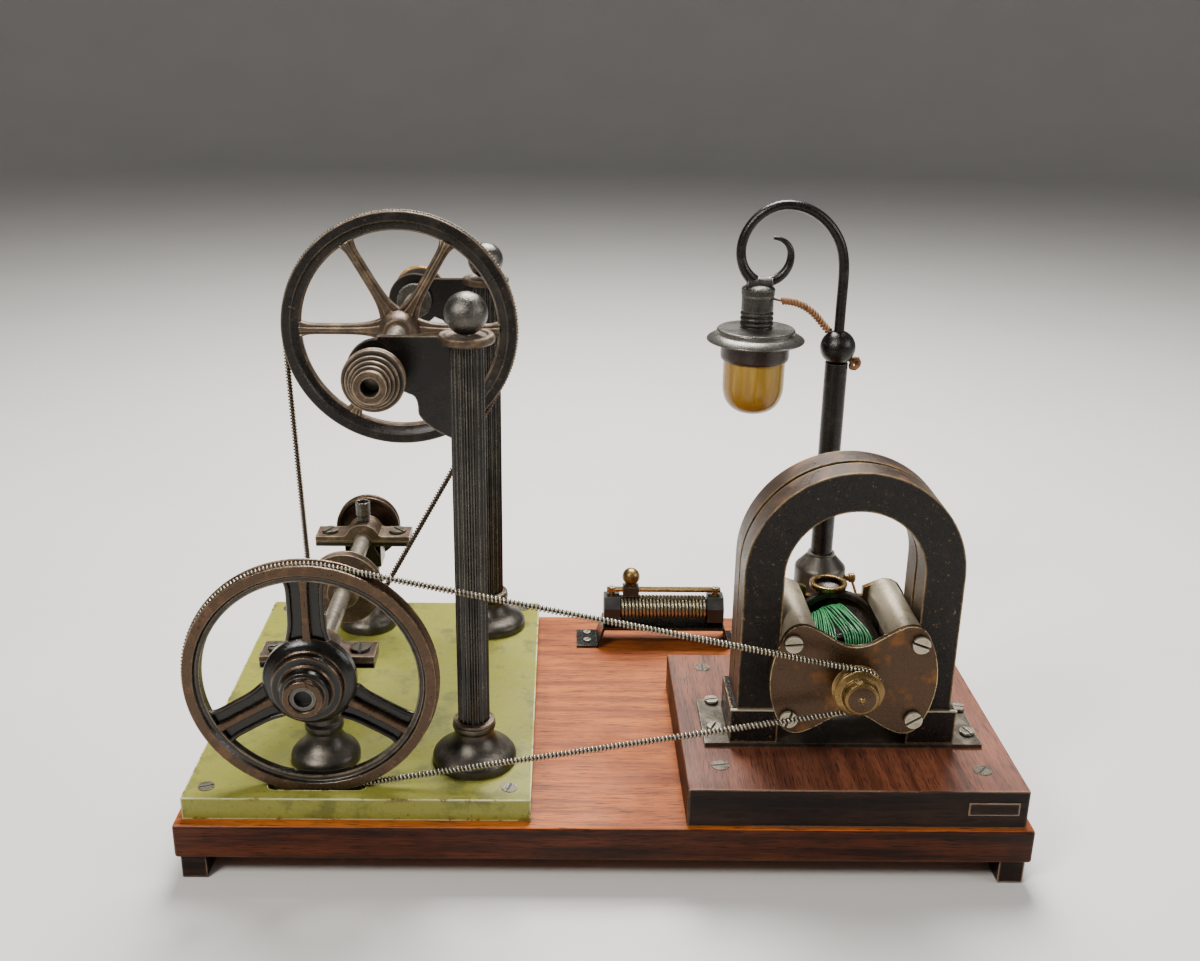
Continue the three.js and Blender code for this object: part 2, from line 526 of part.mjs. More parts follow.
const head = new THREE.Group();
head.position.set(lamp.headX, 0, 0);
lampGroup.add(head);
place(head, "lamp_socket", turnedAlongZ([[0, 191.5], [7.4, 191.5], [6.7, 193.2], [7.4, 195], [6.7, 196.8],
  [7.3, 198.6], [7.3, 206], [7.6, 206.6], [7.6, 209], [3.5, socketTop], [0, socketTop]], 20), japanned);
place(head, "lamp_shade", turnedAlongZ([[0, 190], [17.8, 188.4], [22.2, 185.2], [22.4, 185.9], [18.8, 189.8],
  [17, 190.6], [7.4, 191.5], [0, 191.5]], 24), japanned);
place(head, "glass_collar", turnedAlongZ([[14.6, 176.2], [15.2, 176.2], [15.7, 178], [15.7, 188.3], [14.6, 188.3],
  [14.6, 176.2]], 24), fibre);
place(head, "lamp_glass", turnedAlongZ([[0, 150.7], [5, 151.3], [9.6, 153.6], [12.6, 157.4], [13.8, 162],
  [14.2, 168], [14.2, 186.5], [13, 186.5], [13, 168], [12.5, 162.3], [11.5, 158], [8.8, 154.8],
  [4.6, 152.6], [0, 152]], 18), amberGlass);
place(head, "lamp_bulb", turnedAlongZ([[0, 162.5], [2.6, 163], [4.8, 165], [5.7, 168], [5.2, 171], [4.2, 173.5],
  [4.4, 174], [4.4, 189.2], [0, 189.2]], 14), steel);

const wireRoute = path([[-30.4, 0, 203.9], [-25.5, 0, 203.5], [-20.5, 0, 202.5], [-15.8, 0, 200.8],
  [-11.4, 0, 197.6], [-7.8, 0, 193.8], [-5, 0, 190.6]]);
place(lampGroup, "lamp_wire", tube(wireRoute, 1.5, 12, 8), copperCloth);

// ---- the slide rheostat -------------------------------------------------------------------
const rheostatGroup = assembly(rheostat.x, rheostat.y, boardTop);
const strap = { reach: 43.5, foot: 11, depth: 18, rise: 11, thickness: 1.25 };
function strapBody() {
  const { reach: far, foot, rise, thickness } = strap;
  const near = far - foot;
  const shoulder = near - 3;
  const outline = new THREE.Shape([at(-far, 0), at(-near, 0), at(-shoulder, rise - thickness),
    at(shoulder, rise - thickness), at(near, 0), at(far, 0), at(far, thickness), at(near + 0.9, thickness),
    at(shoulder + 0.9, rise), at(-shoulder - 0.9, rise), at(-near - 0.9, thickness), at(-far, thickness)]);
  return cutFromSheet(outline, -strap.depth / 2, strap.depth / 2);
}
place(rheostatGroup, "rheostat_strap", strapBody(), japanned);

// The former: two eight-sided cheeks on a round core.
const former = { half: 30, cheek: 8, axis: 18.5, radius: 7.6, core: 5.4, wire: 6.8 };
function cheek(x0, x1) {
  const half = 7;
  const outline = new THREE.Shape([at(-half + 2.5, -7.5), at(half - 2.5, -7.5), at(half, -5), at(half, 2),
    at(half - 3.5, 7), at(-half + 3.5, 7), at(-half, 2), at(-half, -5)]);
  return cutFromSheet(outline, x0, x1).rotate([0, 0, -90]).translate([0, 0, former.axis]);
}
const formerBody = join(cheek(-former.half, -former.half + former.cheek),
  cheek(former.half - former.cheek, former.half),
  rodX(former.core, -former.half + 1, former.half - 1).translate([0, 0, former.axis]));
place(rheostatGroup, "rheostat_former", formerBody, fibre);

const woundLength = former.half - former.cheek - 0.25;
place(rheostatGroup, "rheostat_winding", cut(rodX(former.wire, -woundLength, woundLength),
  rodX(former.core + SEAT, -50, 50)).translate([0, 0, former.axis]), steel);

const slideBar = { z: 27.75, half: 28.5, width: 4, thickness: 1.2 };
const cheekTop = former.axis + 7;
const barBody = join(
  box(-slideBar.half, slideBar.half, -slideBar.width / 2, slideBar.width / 2, slideBar.z,
    slideBar.z + slideBar.thickness),
  ...[-1, 1].map((side) => rodZ(1.5, cheekTop, slideBar.z + 0.5, 10)
    .translate([side * (slideBar.half - 2.5), 0, 0])));
place(rheostatGroup, "rheostat_bar", barBody, brass);

const slider = { x: -16.5, half: 4 };
const sliderBody = cut(
  box(-slider.half, slider.half, -3.2, 3.2, cheekTop + 0.2, slideBar.z + slideBar.thickness + 1.4),
  box(-20, 20, -slideBar.width / 2 - 0.15, slideBar.width / 2 + 0.15, slideBar.z - 0.15,
    slideBar.z + slideBar.thickness + 0.15));
place(rheostatGroup, "rheostat_slider", sliderBody, fibre, [slider.x, 0, 0]);

const knobSeat = slideBar.z + slideBar.thickness + 1.4;
place(rheostatGroup, "slider_knob", turnedAlongZ([[0, 0], [2.2, 0], [1.9, 1], [2.4, 1.4], [4, 3], [4.5, 5],
  [4, 7.1], [2.6, 8.7], [1, 9.4], [0, 9.5]], 16), brass, [slider.x, 0, knobSeat]);

export default set;
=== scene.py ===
"""A demonstration lighting plant: belt-driven line shafts, a magnet dynamo, a street lamp and a rheostat.

Lengths are in millimetres until they reach a mesh. X runs right, Y runs back and Z runs up.
"""
import math

import bmesh
import bpy
from mathutils import Matrix, Vector
from mathutils.geometry import tessellate_polygon


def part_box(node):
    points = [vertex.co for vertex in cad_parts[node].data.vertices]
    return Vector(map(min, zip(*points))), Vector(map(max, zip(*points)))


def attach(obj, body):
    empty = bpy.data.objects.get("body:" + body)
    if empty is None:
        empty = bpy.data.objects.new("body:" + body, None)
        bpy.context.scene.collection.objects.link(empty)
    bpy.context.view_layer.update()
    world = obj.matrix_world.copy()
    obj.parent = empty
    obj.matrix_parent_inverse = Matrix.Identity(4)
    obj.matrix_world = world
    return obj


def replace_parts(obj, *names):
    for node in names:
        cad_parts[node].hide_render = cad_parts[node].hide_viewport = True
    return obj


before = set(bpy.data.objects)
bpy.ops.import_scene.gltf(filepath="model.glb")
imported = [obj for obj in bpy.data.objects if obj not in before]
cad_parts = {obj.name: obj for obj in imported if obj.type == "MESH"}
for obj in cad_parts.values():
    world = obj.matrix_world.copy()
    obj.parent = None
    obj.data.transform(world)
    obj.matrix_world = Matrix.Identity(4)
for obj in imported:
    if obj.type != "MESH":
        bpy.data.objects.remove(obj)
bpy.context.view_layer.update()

MM = 0.001
TURN = 2 * math.pi

# ---- driving dimensions, the same as the frame's -------------------------------------------
BOARD_TOP = 25.25
PLATE_TOP = 34.75
BLOCK_TOP = 42.0
FRONT_ROW = -59
REAR_ROW = 65.25
COLUMN_X = -52.5
DRIVE_PLANE = -80
UPPER_PLANE = 5.75
COUNTER_X, COUNTER_Z = -114.25, 82.5
UPPER_X, UPPER_Z = -85.25, 201.25
DYNAMO_X, DYNAMO_Z = 98.5, 79.25
LAMP_X, LAMP_Y, LAMP_HEAD_X = 109.5, 55.5, 71.5
RHEOSTAT_X, RHEOSTAT_Y = 34.5, 67.5

# ---- camera ---------------------------------------------------------------------------------
SENSOR_WIDTH, FOCAL_LENGTH, SIDE_SHIFT = 36, 38.6895, 0.0358333
CAMERA_AT = (-17.16, -523.07, 327.25)
PITCH, YAW, ROLL = math.radians(20.06), math.radians(-0.21), math.radians(0.26)

camera = bpy.data.objects.new("camera", bpy.data.cameras.new("camera"))
bpy.context.collection.objects.link(camera)
bpy.context.scene.camera = camera
camera.data.sensor_width = SENSOR_WIDTH
camera.data.lens = FOCAL_LENGTH
camera.data.shift_x = SIDE_SHIFT
ahead = Vector((math.sin(YAW) * math.cos(PITCH), math.cos(YAW) * math.cos(PITCH), -math.sin(PITCH)))
level_right = Vector((math.cos(YAW), -math.sin(YAW), 0))
level_up = level_right.cross(ahead)
right = level_right * math.cos(ROLL) + level_up * math.sin(ROLL)
up = level_up * math.cos(ROLL) - level_right * math.sin(ROLL)
facing = Matrix((right, up, -ahead)).transposed().to_4x4()
camera.matrix_world = Matrix.Translation(Vector(CAMERA_AT) * MM) @ facing


# ---- material building ----------------------------------------------------------------------
BUMP_DEPTH = 0.3
FLAT_COSINE, EDGE_COSINE = 0.99, 0.88


def add(tree, kind, settings=None, **sockets):
    """Adds a shader node with its settings, and fills its inputs."""
    made = tree.nodes.new("ShaderNode" + kind)
    for key, value in (settings or {}).items():
        setattr(made, key, value)
    fill(tree, made, **sockets)
    return made


def fill(tree, node, **sockets):
    """Sets or links a node's inputs by name, with _ for a space."""
    for name, value in sockets.items():
        connect(tree, node.inputs[name.replace("_", " ")], value)


def connect(tree, socket, value):
    """Links another node's output to a socket, or sets the socket's own value."""
    if isinstance(value, bpy.types.NodeSocket):
        tree.links.new(value, socket)
    else:
        socket.default_value = value


def rgb(hex_colour):
    """A linear colour from its usual six-digit name."""
    channels = [int(hex_colour[i:i + 2], 16) / 255 for i in (0, 2, 4)]
    return (*[c / 12.92 if c < 0.04 else ((c + 0.055) / 1.055) ** 2.4 for c in channels], 1)


def place_of(tree, stretch=(1, 1, 1), turn=(0, 0, 0)):
    """The point on the surface, in metres, scaled by stretch."""
    here = add(tree, "TexCoord").outputs["Object"]
    return add(tree, "Mapping", Vector=here, Scale=stretch, Rotation=turn).outputs[0]


def noise(tree, where, scale, detail, roughness):
    return add(tree, "TexNoise", Vector=where, Scale=scale, Detail=detail, Roughness=roughness).outputs[0]


def step(tree, value, low, high, to_low=0.0, to_high=1.0):
    """Follows value from to_low at low to to_high at high, smoothly, and stays there outside."""
    return add(tree, "MapRange", {"interpolation_type": "SMOOTHSTEP"}, Value=value, From_Min=low,
        From_Max=high, To_Min=to_low, To_Max=to_high).outputs[0]


def mix(tree, factor, first, second):
    made = tree.nodes.new("ShaderNodeMix")
    made.data_type = "RGBA"
    for index, value in ((0, factor), (6, first), (7, second)):
        connect(tree, made.inputs[index], value)
    return made.outputs[2]


def math_node(tree, operation, first, second):
    made = tree.nodes.new("ShaderNodeMath")
    made.operation = operation
    connect(tree, made.inputs[0], first)
    connect(tree, made.inputs[1], second)
    return made.outputs[0]


def edges(tree, radius):
    """1 on the outer and inner edges of a shape and 0 on its flats."""
    rounded = add(tree, "Bevel", {"samples": 4}, Radius=radius * MM).outputs[0]
    flat = add(tree, "NewGeometry").outputs["Normal"]
    agree = add(tree, "VectorMath", {"operation": "DOT_PRODUCT"})
    connect(tree, agree.inputs[0], rounded)
    connect(tree, agree.inputs[1], flat)
    return step(tree, agree.outputs["Value"], FLAT_COSINE, EDGE_COSINE)


def new_material(name):
    made = bpy.data.materials.new(name)
    made.use_nodes = True
    return made, made.node_tree, made.node_tree.nodes["Principled BSDF"]


def bump(tree, shader, height, strength):
    made = add(tree, "Bump", Strength=strength, Distance=BUMP_DEPTH * MM, Height=height)
    fill(tree, shader, Normal=made.outputs[0])


def aged(name, base, patch, edge, metallic=0.0, edge_metallic=0.8, rough=(0.3, 0.55), patch_size=14,
         patch_amount=0.5, grain=0.8, edge_radius=0.8, edge_amount=0.7, relief=0.25, speck=None, chips=None,
         shine=0.5):
    """An old finish: a base colour with patches, fine grain, and its edges worn to another colour that also
    paints the highlights along them.
    """
    made, tree, shader = new_material(name)
    where = place_of(tree)
    broad = noise(tree, where, 1000 / patch_size, 7, 0.65)
    fine = noise(tree, where, 1000 / grain, 4, 0.7)
    patches = step(tree, broad, 0.66 - 0.3 * patch_amount, 0.76 - 0.2 * patch_amount)
    colour = mix(tree, patches, rgb(base), rgb(patch))
    shade = step(tree, fine, 0.3, 0.7, 0.0, 0.35)
    colour = mix(tree, shade, colour, rgb(patch))
    if speck:
        dots = step(tree, noise(tree, where, 600, 3, 0.75), 0.64, 0.69)
        colour = mix(tree, dots, colour, rgb(speck))
    # The edge colour is partly wear and partly painted highlight along the edges.
    rim = edges(tree, edge_radius)
    worn = math_node(tree, "MULTIPLY", rim, step(tree, broad, 0.32, 0.58, 0.25, 1.0))
    worn = math_node(tree, "MULTIPLY", worn, edge_amount)
    colour = mix(tree, worn, colour, rgb(edge))
    if chips:
        flakes = step(tree, noise(tree, where, 130, 6, 0.75), 0.54, 0.58)
        wide_rim = edges(tree, edge_radius * 3.5)
        colour = mix(tree, math_node(tree, "MULTIPLY", flakes, wide_rim), colour, rgb(chips))
    metal = metallic
    if edge_metallic:
        metal = math_node(tree, "MAXIMUM", math_node(tree, "MULTIPLY", worn, edge_metallic), metallic)
    gloss = step(tree, math_node(tree, "MULTIPLY", broad, fine), 0.12, 0.4, *rough)
    fill(tree, shader, Base_Color=colour, Metallic=metal, Roughness=gloss, Specular_IOR_Level=shine)
    bump(tree, shader, math_node(tree, "ADD", math_node(tree, "MULTIPLY", broad, 0.6), fine), relief)
    return made


def wooden(name, light, dark, deep, along, rough=(0.35, 0.6), worn_edge="9a6a48", shine=0.35):
    """Varnished wood: long pores and bands that run along one axis, darker in the pores."""
    made, tree, shader = new_material(name)
    stretch = [9.0, 9.0, 9.0]
    stretch["XYZ".index(along)] = 0.55
    bands = noise(tree, place_of(tree, stretch), 22, 8, 0.6)
    pores = noise(tree, place_of(tree, [s * (14 if s > 1 else 9) for s in stretch]), 20, 3, 0.7)
    broad = noise(tree, place_of(tree), 16, 5, 0.6)
    colour = mix(tree, step(tree, bands, 0.36, 0.66), rgb(light), rgb(dark))
    colour = mix(tree, step(tree, broad, 0.45, 0.72, 0, 0.7), colour, rgb(dark))
    colour = mix(tree, step(tree, pores, 0.53, 0.62, 0, 0.9), colour, rgb(deep))
    worn = math_node(tree, "MULTIPLY", edges(tree, 1.2), step(tree, broad, 0.42, 0.6, 0.1, 0.75))
    colour = mix(tree, worn, colour, rgb(worn_edge))
    gloss = step(tree, broad, 0.3, 0.7, *rough)
    fill(tree, shader, Base_Color=colour, Roughness=gloss, Specular_IOR_Level=shine)
    bump(tree, shader, math_node(tree, "SUBTRACT", bands, pores), 0.35)
    return made


# wooden: light, dark and pore colours, the grain's axis, roughness range, colour of worn edges, shine.
# aged: base, patch and edge colours, metallic on flats and edges, roughness range, patch size and amount,
# grain size, edges' width and amount (wear and painted highlight), relief, then the colours of specks and
# chips.
mahogany = wooden("mahogany", "a5581c", "743612", "2a1408", "X", (0.38, 0.62), "b07440", 0.2)
# The side finishes are darker than the tops, partly the wood's own colour and partly painted shade.
shaded_board_sides = wooden("board_sides_shaded", "4e2512", "22100a", "0c0503", "X", (0.3, 0.5), "a8703f", 0.15)
block_wood = wooden("block_wood", "77442e", "4c2819", "1c0d08", "Y")
shaded_block_sides = wooden("block_sides_shaded", "2a1912", "110a07", "060403", "X", (0.35, 0.55), "b4957c", 0.15)
green_paint = aged("green_paint", "7c7a30", "595a20", "dad8a8", 0, 0.1, (0.26, 0.42), 16, 0.5, 1.6, 1.2,
    1.0, 0.3, "4c3f1c", "54391c", 0.35)
japan = aged("black_japan", "0b0907", "1a1410", "a4927a", 0.2, 0.8, (0.12, 0.3), 9, 0.45, 0.9, 0.9, 0.85,
    0.3, shine=0.45)
foot_metal = aged("foot_metal", "45413b", "625b51", "a99f90", 0.85, 0.9, (0.28, 0.46), 9, 0.5, 0.8, 0.8,
    0.6, 0.4)
column_black = aged("column_black", "0f0d0b", "29231d", "b0a594", 0.35, 0.8, (0.14, 0.34), 12, 0.45, 0.8,
    0.6, 0.5, 0.4)
rusty_iron = aged("rusty_iron", "45382e", "705c46", "cdbb9a", 0.6, 0.9, (0.26, 0.48), 5, 0.55, 0.6, 0.7,
    0.95, 0.6, "211812")
rim_iron = aged("rim_iron", "110e0c", "29221c", "9a8b74", 0.35, 0.85, (0.22, 0.44), 9, 0.5, 0.8, 0.9, 0.85,
    0.4, "54483a")
copper_ring = aged("copper_ring", "44362a", "5d4736", "b8997a", 0.8, 0.9, (0.2, 0.4), 7, 0.55, 0.6, 0.6,
    0.8, 0.3, "241a14")
dark_steel = aged("dark_steel", "4d4a45", "67635c", "aba59a", 0.85, 0.95, (0.16, 0.36), 6, 0.5, 0.5, 0.8,
    0.45, 0.6)
shaft_steel = aged("shaft_steel", "a39b8c", "776c5e", "cfc8ba", 0.75, 0.95, (0.22, 0.42), 8, 0.45, 0.7, 0.5,
    0.6, 0.25)
# The magnet's light specks are partly rust and partly painted glints on its pitted black.
magnet_black = aged("magnet_black", "0d0a08", "241a13", "b3966a", 0.3, 0.85, (0.2, 0.46), 5, 0.45, 0.7, 1.3,
    1.0, 1.5, "6a5236", shine=0.35)
magnet_side = aged("magnet_side", "271e17", "543820", "b39466", 0.4, 0.85, (0.26, 0.5), 8, 0.55, 0.7, 1.3,
    0.9, 0.8, "171210")
shoe_steel = aged("shoe_steel", "a89c86", "857a66", "d8cfba", 0.6, 0.9, (0.28, 0.5), 6, 0.5, 0.8, 1.0, 0.7,
    0.4, "4b4135")
plate_steel = aged("plate_steel", "4b453d", "686053", "b4a893", 0.8, 0.9, (0.26, 0.45), 6, 0.55, 0.8, 0.6,
    0.7, 0.35)
plate_brass = aged("plate_brass", "35271b", "66411c", "e6d09a", 0.6, 0.9, (0.22, 0.42), 13, 0.5, 0.6, 0.7,
    1.0, 0.4, "1b120c", "24170e")
old_brass = aged("old_brass", "6a5330", "8c7144", "d8be86", 0.85, 0.95, (0.22, 0.44), 7, 0.55, 0.6, 0.5,
    0.8, 0.22, "382a1a")
bright_brass = aged("bright_brass", "957a4c", "6f5734", "e0c894", 0.9, 0.95, (0.18, 0.38), 5, 0.5, 0.5, 0.6,
    0.7, 0.2)
gold_ring = aged("gold_ring", "9a7440", "6f5330", "e0bf80", 0.9, 0.95, (0.22, 0.42), 5, 0.5, 0.5, 0.6, 0.7,
    0.2)
gunmetal = aged("gunmetal", "232220", "383632", "8a857e", 0.75, 0.9, (0.18, 0.4), 8, 0.5, 0.8, 0.6, 0.6, 0.4)
socket_metal = aged("socket_metal", "46443f", "2b2926", "b9b4aa", 0.8, 0.9, (0.2, 0.45), 3, 0.5, 0.6, 0.6,
    0.8, 0.8)
shade_metal = aged("shade_metal", "64625c", "4c4a45", "b4b0a8", 0.8, 0.9, (0.22, 0.42), 9, 0.5, 0.8, 0.7,
    0.7, 0.25)
dark_fibre = aged("dark_fibre", "1d1b19", "302c28", "6a6056", 0, 0.1, (0.3, 0.5), 6, 0.5, 0.7, 0.7, 0.6, 0.3)
dark_collar = aged("dark_collar", "241610", "38241a", "7a5a40", 0.2, 0.4, (0.25, 0.45), 6, 0.5, 0.7, 0.6,
    0.5, 0.25)
bronze_spring = aged("bronze_spring", "4a3d2e", "65543e", "ac946c", 0.7, 0.95, (0.26, 0.42), 8, 0.5, 0.8,
    0.3, 0.1, 0.1)
nickel_spring = aged("nickel_spring", "a89e88", "7c7260", "d8d0c0", 0.85, 0.95, (0.2, 0.36), 8, 0.5, 0.8,
    0.3, 0.2, 0.1)
resistance_wire = aged("resistance_wire", "b3a88a", "857a60", "dcd4bf", 0.85, 0.95, (0.2, 0.35), 5, 0.4,
    0.6, 0.3, 0.3, 0.1)
silk = aged("green_silk", "2a7a46", "114024", "8fd0a8", 0, 0, (0.22, 0.42), 3, 0.5, 0.4, 0.3, 0.3, 0.25)
cloth_braid = aged("cloth_braid", "86582f", "573820", "b3814f", 0, 0, (0.5, 0.75), 2, 0.5, 0.4, 0.4, 0.5, 0.6)
screw_steel = aged("screw_steel", "6a6356", "464036", "b3a993", 0.8, 0.95, (0.24, 0.44), 4, 0.5, 0.5, 0.3,
    0.7, 0.3)
# A near-black finish that paints the shade in screw slots, pulley grooves, bores and inside the spring belts.
painted_shade_dark = aged("painted_shade_dark", "0b0908", "17120f", "241c16", 0, 0, (0.5, 0.7), 2, 0.5, 0.4, 0.3, 0.2, 0.2)


def amber_material():
    """Amber lacquered glass with upright streaks, darker towards the foot."""
    made, tree, shader = new_material("amber_glass")
    streaks = noise(tree, place_of(tree, (9, 9, 0.8)), 60, 5, 0.6)
    height = add(tree, "SeparateXYZ", Vector=place_of(tree)).outputs["Z"]
    low = step(tree, height, 150 * MM, 172 * MM, 1.0, 0.0)
    colour = mix(tree, step(tree, streaks, 0.3, 0.7), rgb("a5812f"), rgb("886620"))
    colour = mix(tree, math_node(tree, "MULTIPLY", low, 0.75), colour, rgb("7c4f18"))
    gloss = step(tree, streaks, 0.3, 0.7, 0.12, 0.3)
    fill(tree, shader, Base_Color=colour, Roughness=gloss, Transmission_Weight=0.05,
         Specular_IOR_Level=0.25, Coat_Weight=0.15)
    bump(tree, shader, streaks, 0.15)
    return made


def clear_material():
    made, tree, shader = new_material("clear_glass")
    smoke = noise(tree, place_of(tree), 300, 3, 0.5)
    colour = mix(tree, smoke, rgb("e8e4d8"), rgb("c8c0a8"))
    gloss = step(tree, smoke, 0.3, 0.7, 0.04, 0.12)
    fill(tree, shader, Base_Color=colour, Roughness=gloss, Transmission_Weight=0.9)
    return made


amber = amber_material()
clear_glass = clear_material()


# ---- shape building -------------------------------------------------------------------------
SHARP_ANGLE = math.radians(32)


def piece(name, vertices, faces, finish, body="stand", rounded=0.0, bands=None):
    """A mesh from points in millimetres, riding on a body. bands gives each face its finish's number."""
    mesh = bpy.data.meshes.new(name)
    mesh.from_pydata([Vector(v) * MM for v in vertices], [], faces)
    finishes = finish if isinstance(finish, (list, tuple)) else [finish]
    for each in finishes:
        mesh.materials.append(each)
    if bands:
        mesh.polygons.foreach_set("material_index", bands)
    shape = bmesh.new()
    shape.from_mesh(mesh)
    bmesh.ops.remove_doubles(shape, verts=shape.verts, dist=1e-7)
    bmesh.ops.dissolve_degenerate(shape, edges=shape.edges, dist=1e-8)
    bmesh.ops.recalc_face_normals(shape, faces=shape.faces)
    shape.to_mesh(mesh)
    shape.free()
    mesh.shade_smooth()
    mesh.set_sharp_from_angle(angle=SHARP_ANGLE)
    made = bpy.data.objects.new(name, mesh)
    bpy.context.collection.objects.link(made)
    if rounded:
        round_edges(made, rounded)
    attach(made, body)
    return made


def round_edges(made, width):
    bevel = made.modifiers.new("rounded", "BEVEL")
    bevel.width = width * MM
    bevel.segments = 2
    bevel.limit_method = "ANGLE"
    bevel.angle_limit = SHARP_ANGLE
    bevel.harden_normals = True


AXES = {
    "X": lambda r, t, a: (a, r * math.cos(t), r * math.sin(t)),
    "Y": lambda r, t, a: (r * math.cos(t), a, r * math.sin(t)),
    "Z": lambda r, t, a: (r * math.cos(t), r * math.sin(t), a),
}


def turned(name, profile, finish, at, axis="Y", body="stand", sides=96, bands=None, rounded=0.2):
    """A lathe piece: each point of the profile is (radius, place along the axis)."""
    around = AXES[axis]
    vertices = []
    for radius, along in profile:
        for k in range(sides):
            x, y, z = around(radius, TURN * k / sides, along)
            vertices.append((x + at[0], y + at[1], z + at[2]))
    faces, numbers = [], []
    for i in range(len(profile) - 1):
        for k in range(sides):
            after = (k + 1) % sides
            faces.append((i * sides + k, i * sides + after, (i + 1) * sides + after, (i + 1) * sides + k))
            numbers.append(bands[i] if bands else 0)
    return piece(name, vertices, faces, finish, body, rounded, numbers if bands else None)


def sheet_cut(name, outline, y0, y1, finish, body="stand", rounded=0.3, turn=None, side_finish=None):
    """A flat piece: an outline in X and Z, with its thickness along Y.

    turn then moves each point, and side_finish is for the faces round the outline.
    """
    count = len(outline)
    vertices = [(x, y0, z) for x, z in outline] + [(x, y1, z) for x, z in outline]
    caps = tessellate_polygon([[Vector((x, z, 0)) for x, z in outline]])
    faces = [tuple(cap) for cap in caps] + [tuple(i + count for i in reversed(cap)) for cap in caps]
    for i in range(count):
        after = (i + 1) % count
        faces.append((i, after, after + count, i + count))
    if turn:
        vertices = [turn(v) for v in vertices]
    if not side_finish:
        return piece(name, vertices, faces, finish, body, rounded)
    numbers = [0] * (2 * len(caps)) + [1] * count
    return piece(name, vertices, faces, [finish, side_finish], body, rounded, numbers)


def block(name, low, high, finish, rounded):
    """A box between two corners."""
    (x0, y0, z0), (x1, y1, z1) = low, high
    return sheet_cut(name, [(x0, z0), (x1, z0), (x1, z1), (x0, z1)], y0, y1, finish, rounded=rounded)


def shifted(outline, x, z):
    """An outline moved from the origin to its place."""
    return [(x + px, z + pz) for px, pz in outline]


def arc(x, z, radius, start, end, count):
    """Points on an arc, with its angles in degrees."""
    return [(x + radius * math.cos(math.radians(start + (end - start) * i / count)),
             z + radius * math.sin(math.radians(start + (end - start) * i / count)))
            for i in range(count + 1)]


def bezier(points, t):
    """The point at t, from 0 to 1, on a Bezier curve with any number of control points."""
    row = [Vector(p) for p in points]
    while len(row) > 1:
        row = [a.lerp(b, t) for a, b in zip(row, row[1:])]
    return row[0]


def curve_between(points, count):
    """Evenly numbered points along a Bezier curve, with both its ends."""
    return [tuple(bezier(points, i / count)) for i in range(count + 1)]


def wire(name, points, radius, finish, body="stand", taper=None, closed=False, smooth=True, sides=2):
    """A round wire or tube along points in millimetres."""
    data = bpy.data.curves.new(name, "CURVE")
    data.dimensions = "3D"
    data.bevel_depth = radius * MM
    data.bevel_resolution = sides
    data.use_fill_caps = True
    spline = data.splines.new("NURBS" if smooth else "POLY")
    spline.points.add(len(points) - 1)
    for i, point in enumerate(points):
        spline.points[i].co = (*(Vector(point) * MM), 1)
        spline.points[i].radius = taper(i / (len(points) - 1)) if taper else 1
    spline.use_cyclic_u = closed
    if smooth:
        spline.order_u = 4
        spline.use_endpoint_u = not closed
        spline.resolution_u = 6
    data.materials.append(finish)
    made = bpy.data.objects.new(name, data)
    bpy.context.collection.objects.link(made)
    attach(made, body)
    return made


def coiled(name, path, length, coil_radius, wire_radius, pitch, finish, closed=False, sides=1):
    """A coil wound round a path: path(distance) gives its point, its sideways and its upward direction."""
    per_turn = 8
    turns = round(length / pitch)
    points = []
    for i in range(turns * per_turn + (0 if closed else 1)):
        centre, side, lift = path(length * i / (turns * per_turn))
        angle = TURN * i / per_turn
        points.append(centre + coil_radius * (math.cos(angle) * side + math.sin(angle) * lift))
    return wire(name, points, wire_radius, finish, closed=closed, smooth=False, sides=sides)


def slotted_screw(name, at, radius, finish, normal="Z", height=0.8, slot=0.9, angle=30):
    """A screw head with a slot across it: two half moons on a disc painted dark for the shade in the slot."""
    half = slot / 2
    reach = math.degrees(math.asin(half / radius))
    vertices, faces, numbers = [], [], []

    def prism(outline, low, high, number):
        start, n = len(vertices), len(outline)
        for along in (low, high):
            vertices.extend((p, q, along) for p, q in outline)
        faces.append(tuple(range(start, start + n)))
        faces.append(tuple(range(start + n, start + 2 * n)))
        faces.extend((start + i, start + (i + 1) % n, start + n + (i + 1) % n, start + n + i)
            for i in range(n))
        numbers.extend([number] * (n + 2))

    prism(arc(0, 0, radius, 0, 345, 23), 0, height * 0.35, 1)
    for first in (reach, 180 + reach):
        prism(arc(0, 0, radius, first, first + 180 - 2 * reach, 14), height * 0.36, height, 0)
    turn = Matrix.Rotation(math.radians(angle), 4, "Z")
    if normal == "-Y":
        turn = Matrix.Rotation(math.pi / 2, 4, "X") @ turn
    moved = [Vector(at) + turn @ Vector(v) for v in vertices]
    return piece(name, moved, faces, [finish, painted_shade_dark], rounded=0.12, bands=numbers)


def repaint(node, finish, rounded):
    """Gives a frame piece that keeps its shape its finish and its softened edges."""
    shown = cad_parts[node]
    for spot in shown.material_slots:
        spot.link = "OBJECT"
        spot.material = finish
    round_edges(shown, rounded)


# ---- board, plate and block -----------------------------------------------------------------
def two_faced(node, top, sides, rounded):
    """A wooden slab with its own finish on the top and on the sides, the sides darker, partly with painted
    shade.
    """
    low, high = [[c / MM for c in corner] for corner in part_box(node)]
    slab = block(f"{node}_slab", low, high, top, rounded=rounded)
    slab.data.materials.append(sides)
    # Faces that are not level take the darker side finish, partly painted shade.
    for face in slab.data.polygons:
        face.material_index = 0 if abs(face.normal.z) > 0.9 else 1
    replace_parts(slab, node)


two_faced("baseboard", mahogany, shaded_board_sides, 1.4)
two_faced("dynamo_block", block_wood, shaded_block_sides, 0.9)
repaint("left_batten", shaded_block_sides, 0.6)
repaint("right_batten", shaded_block_sides, 0.6)
repaint("machine_plate", green_paint, 0.8)

block("repair_patch", (143, -92.6, 31.2), (163, -92.1, 36.8), shaded_block_sides, rounded=0.2)

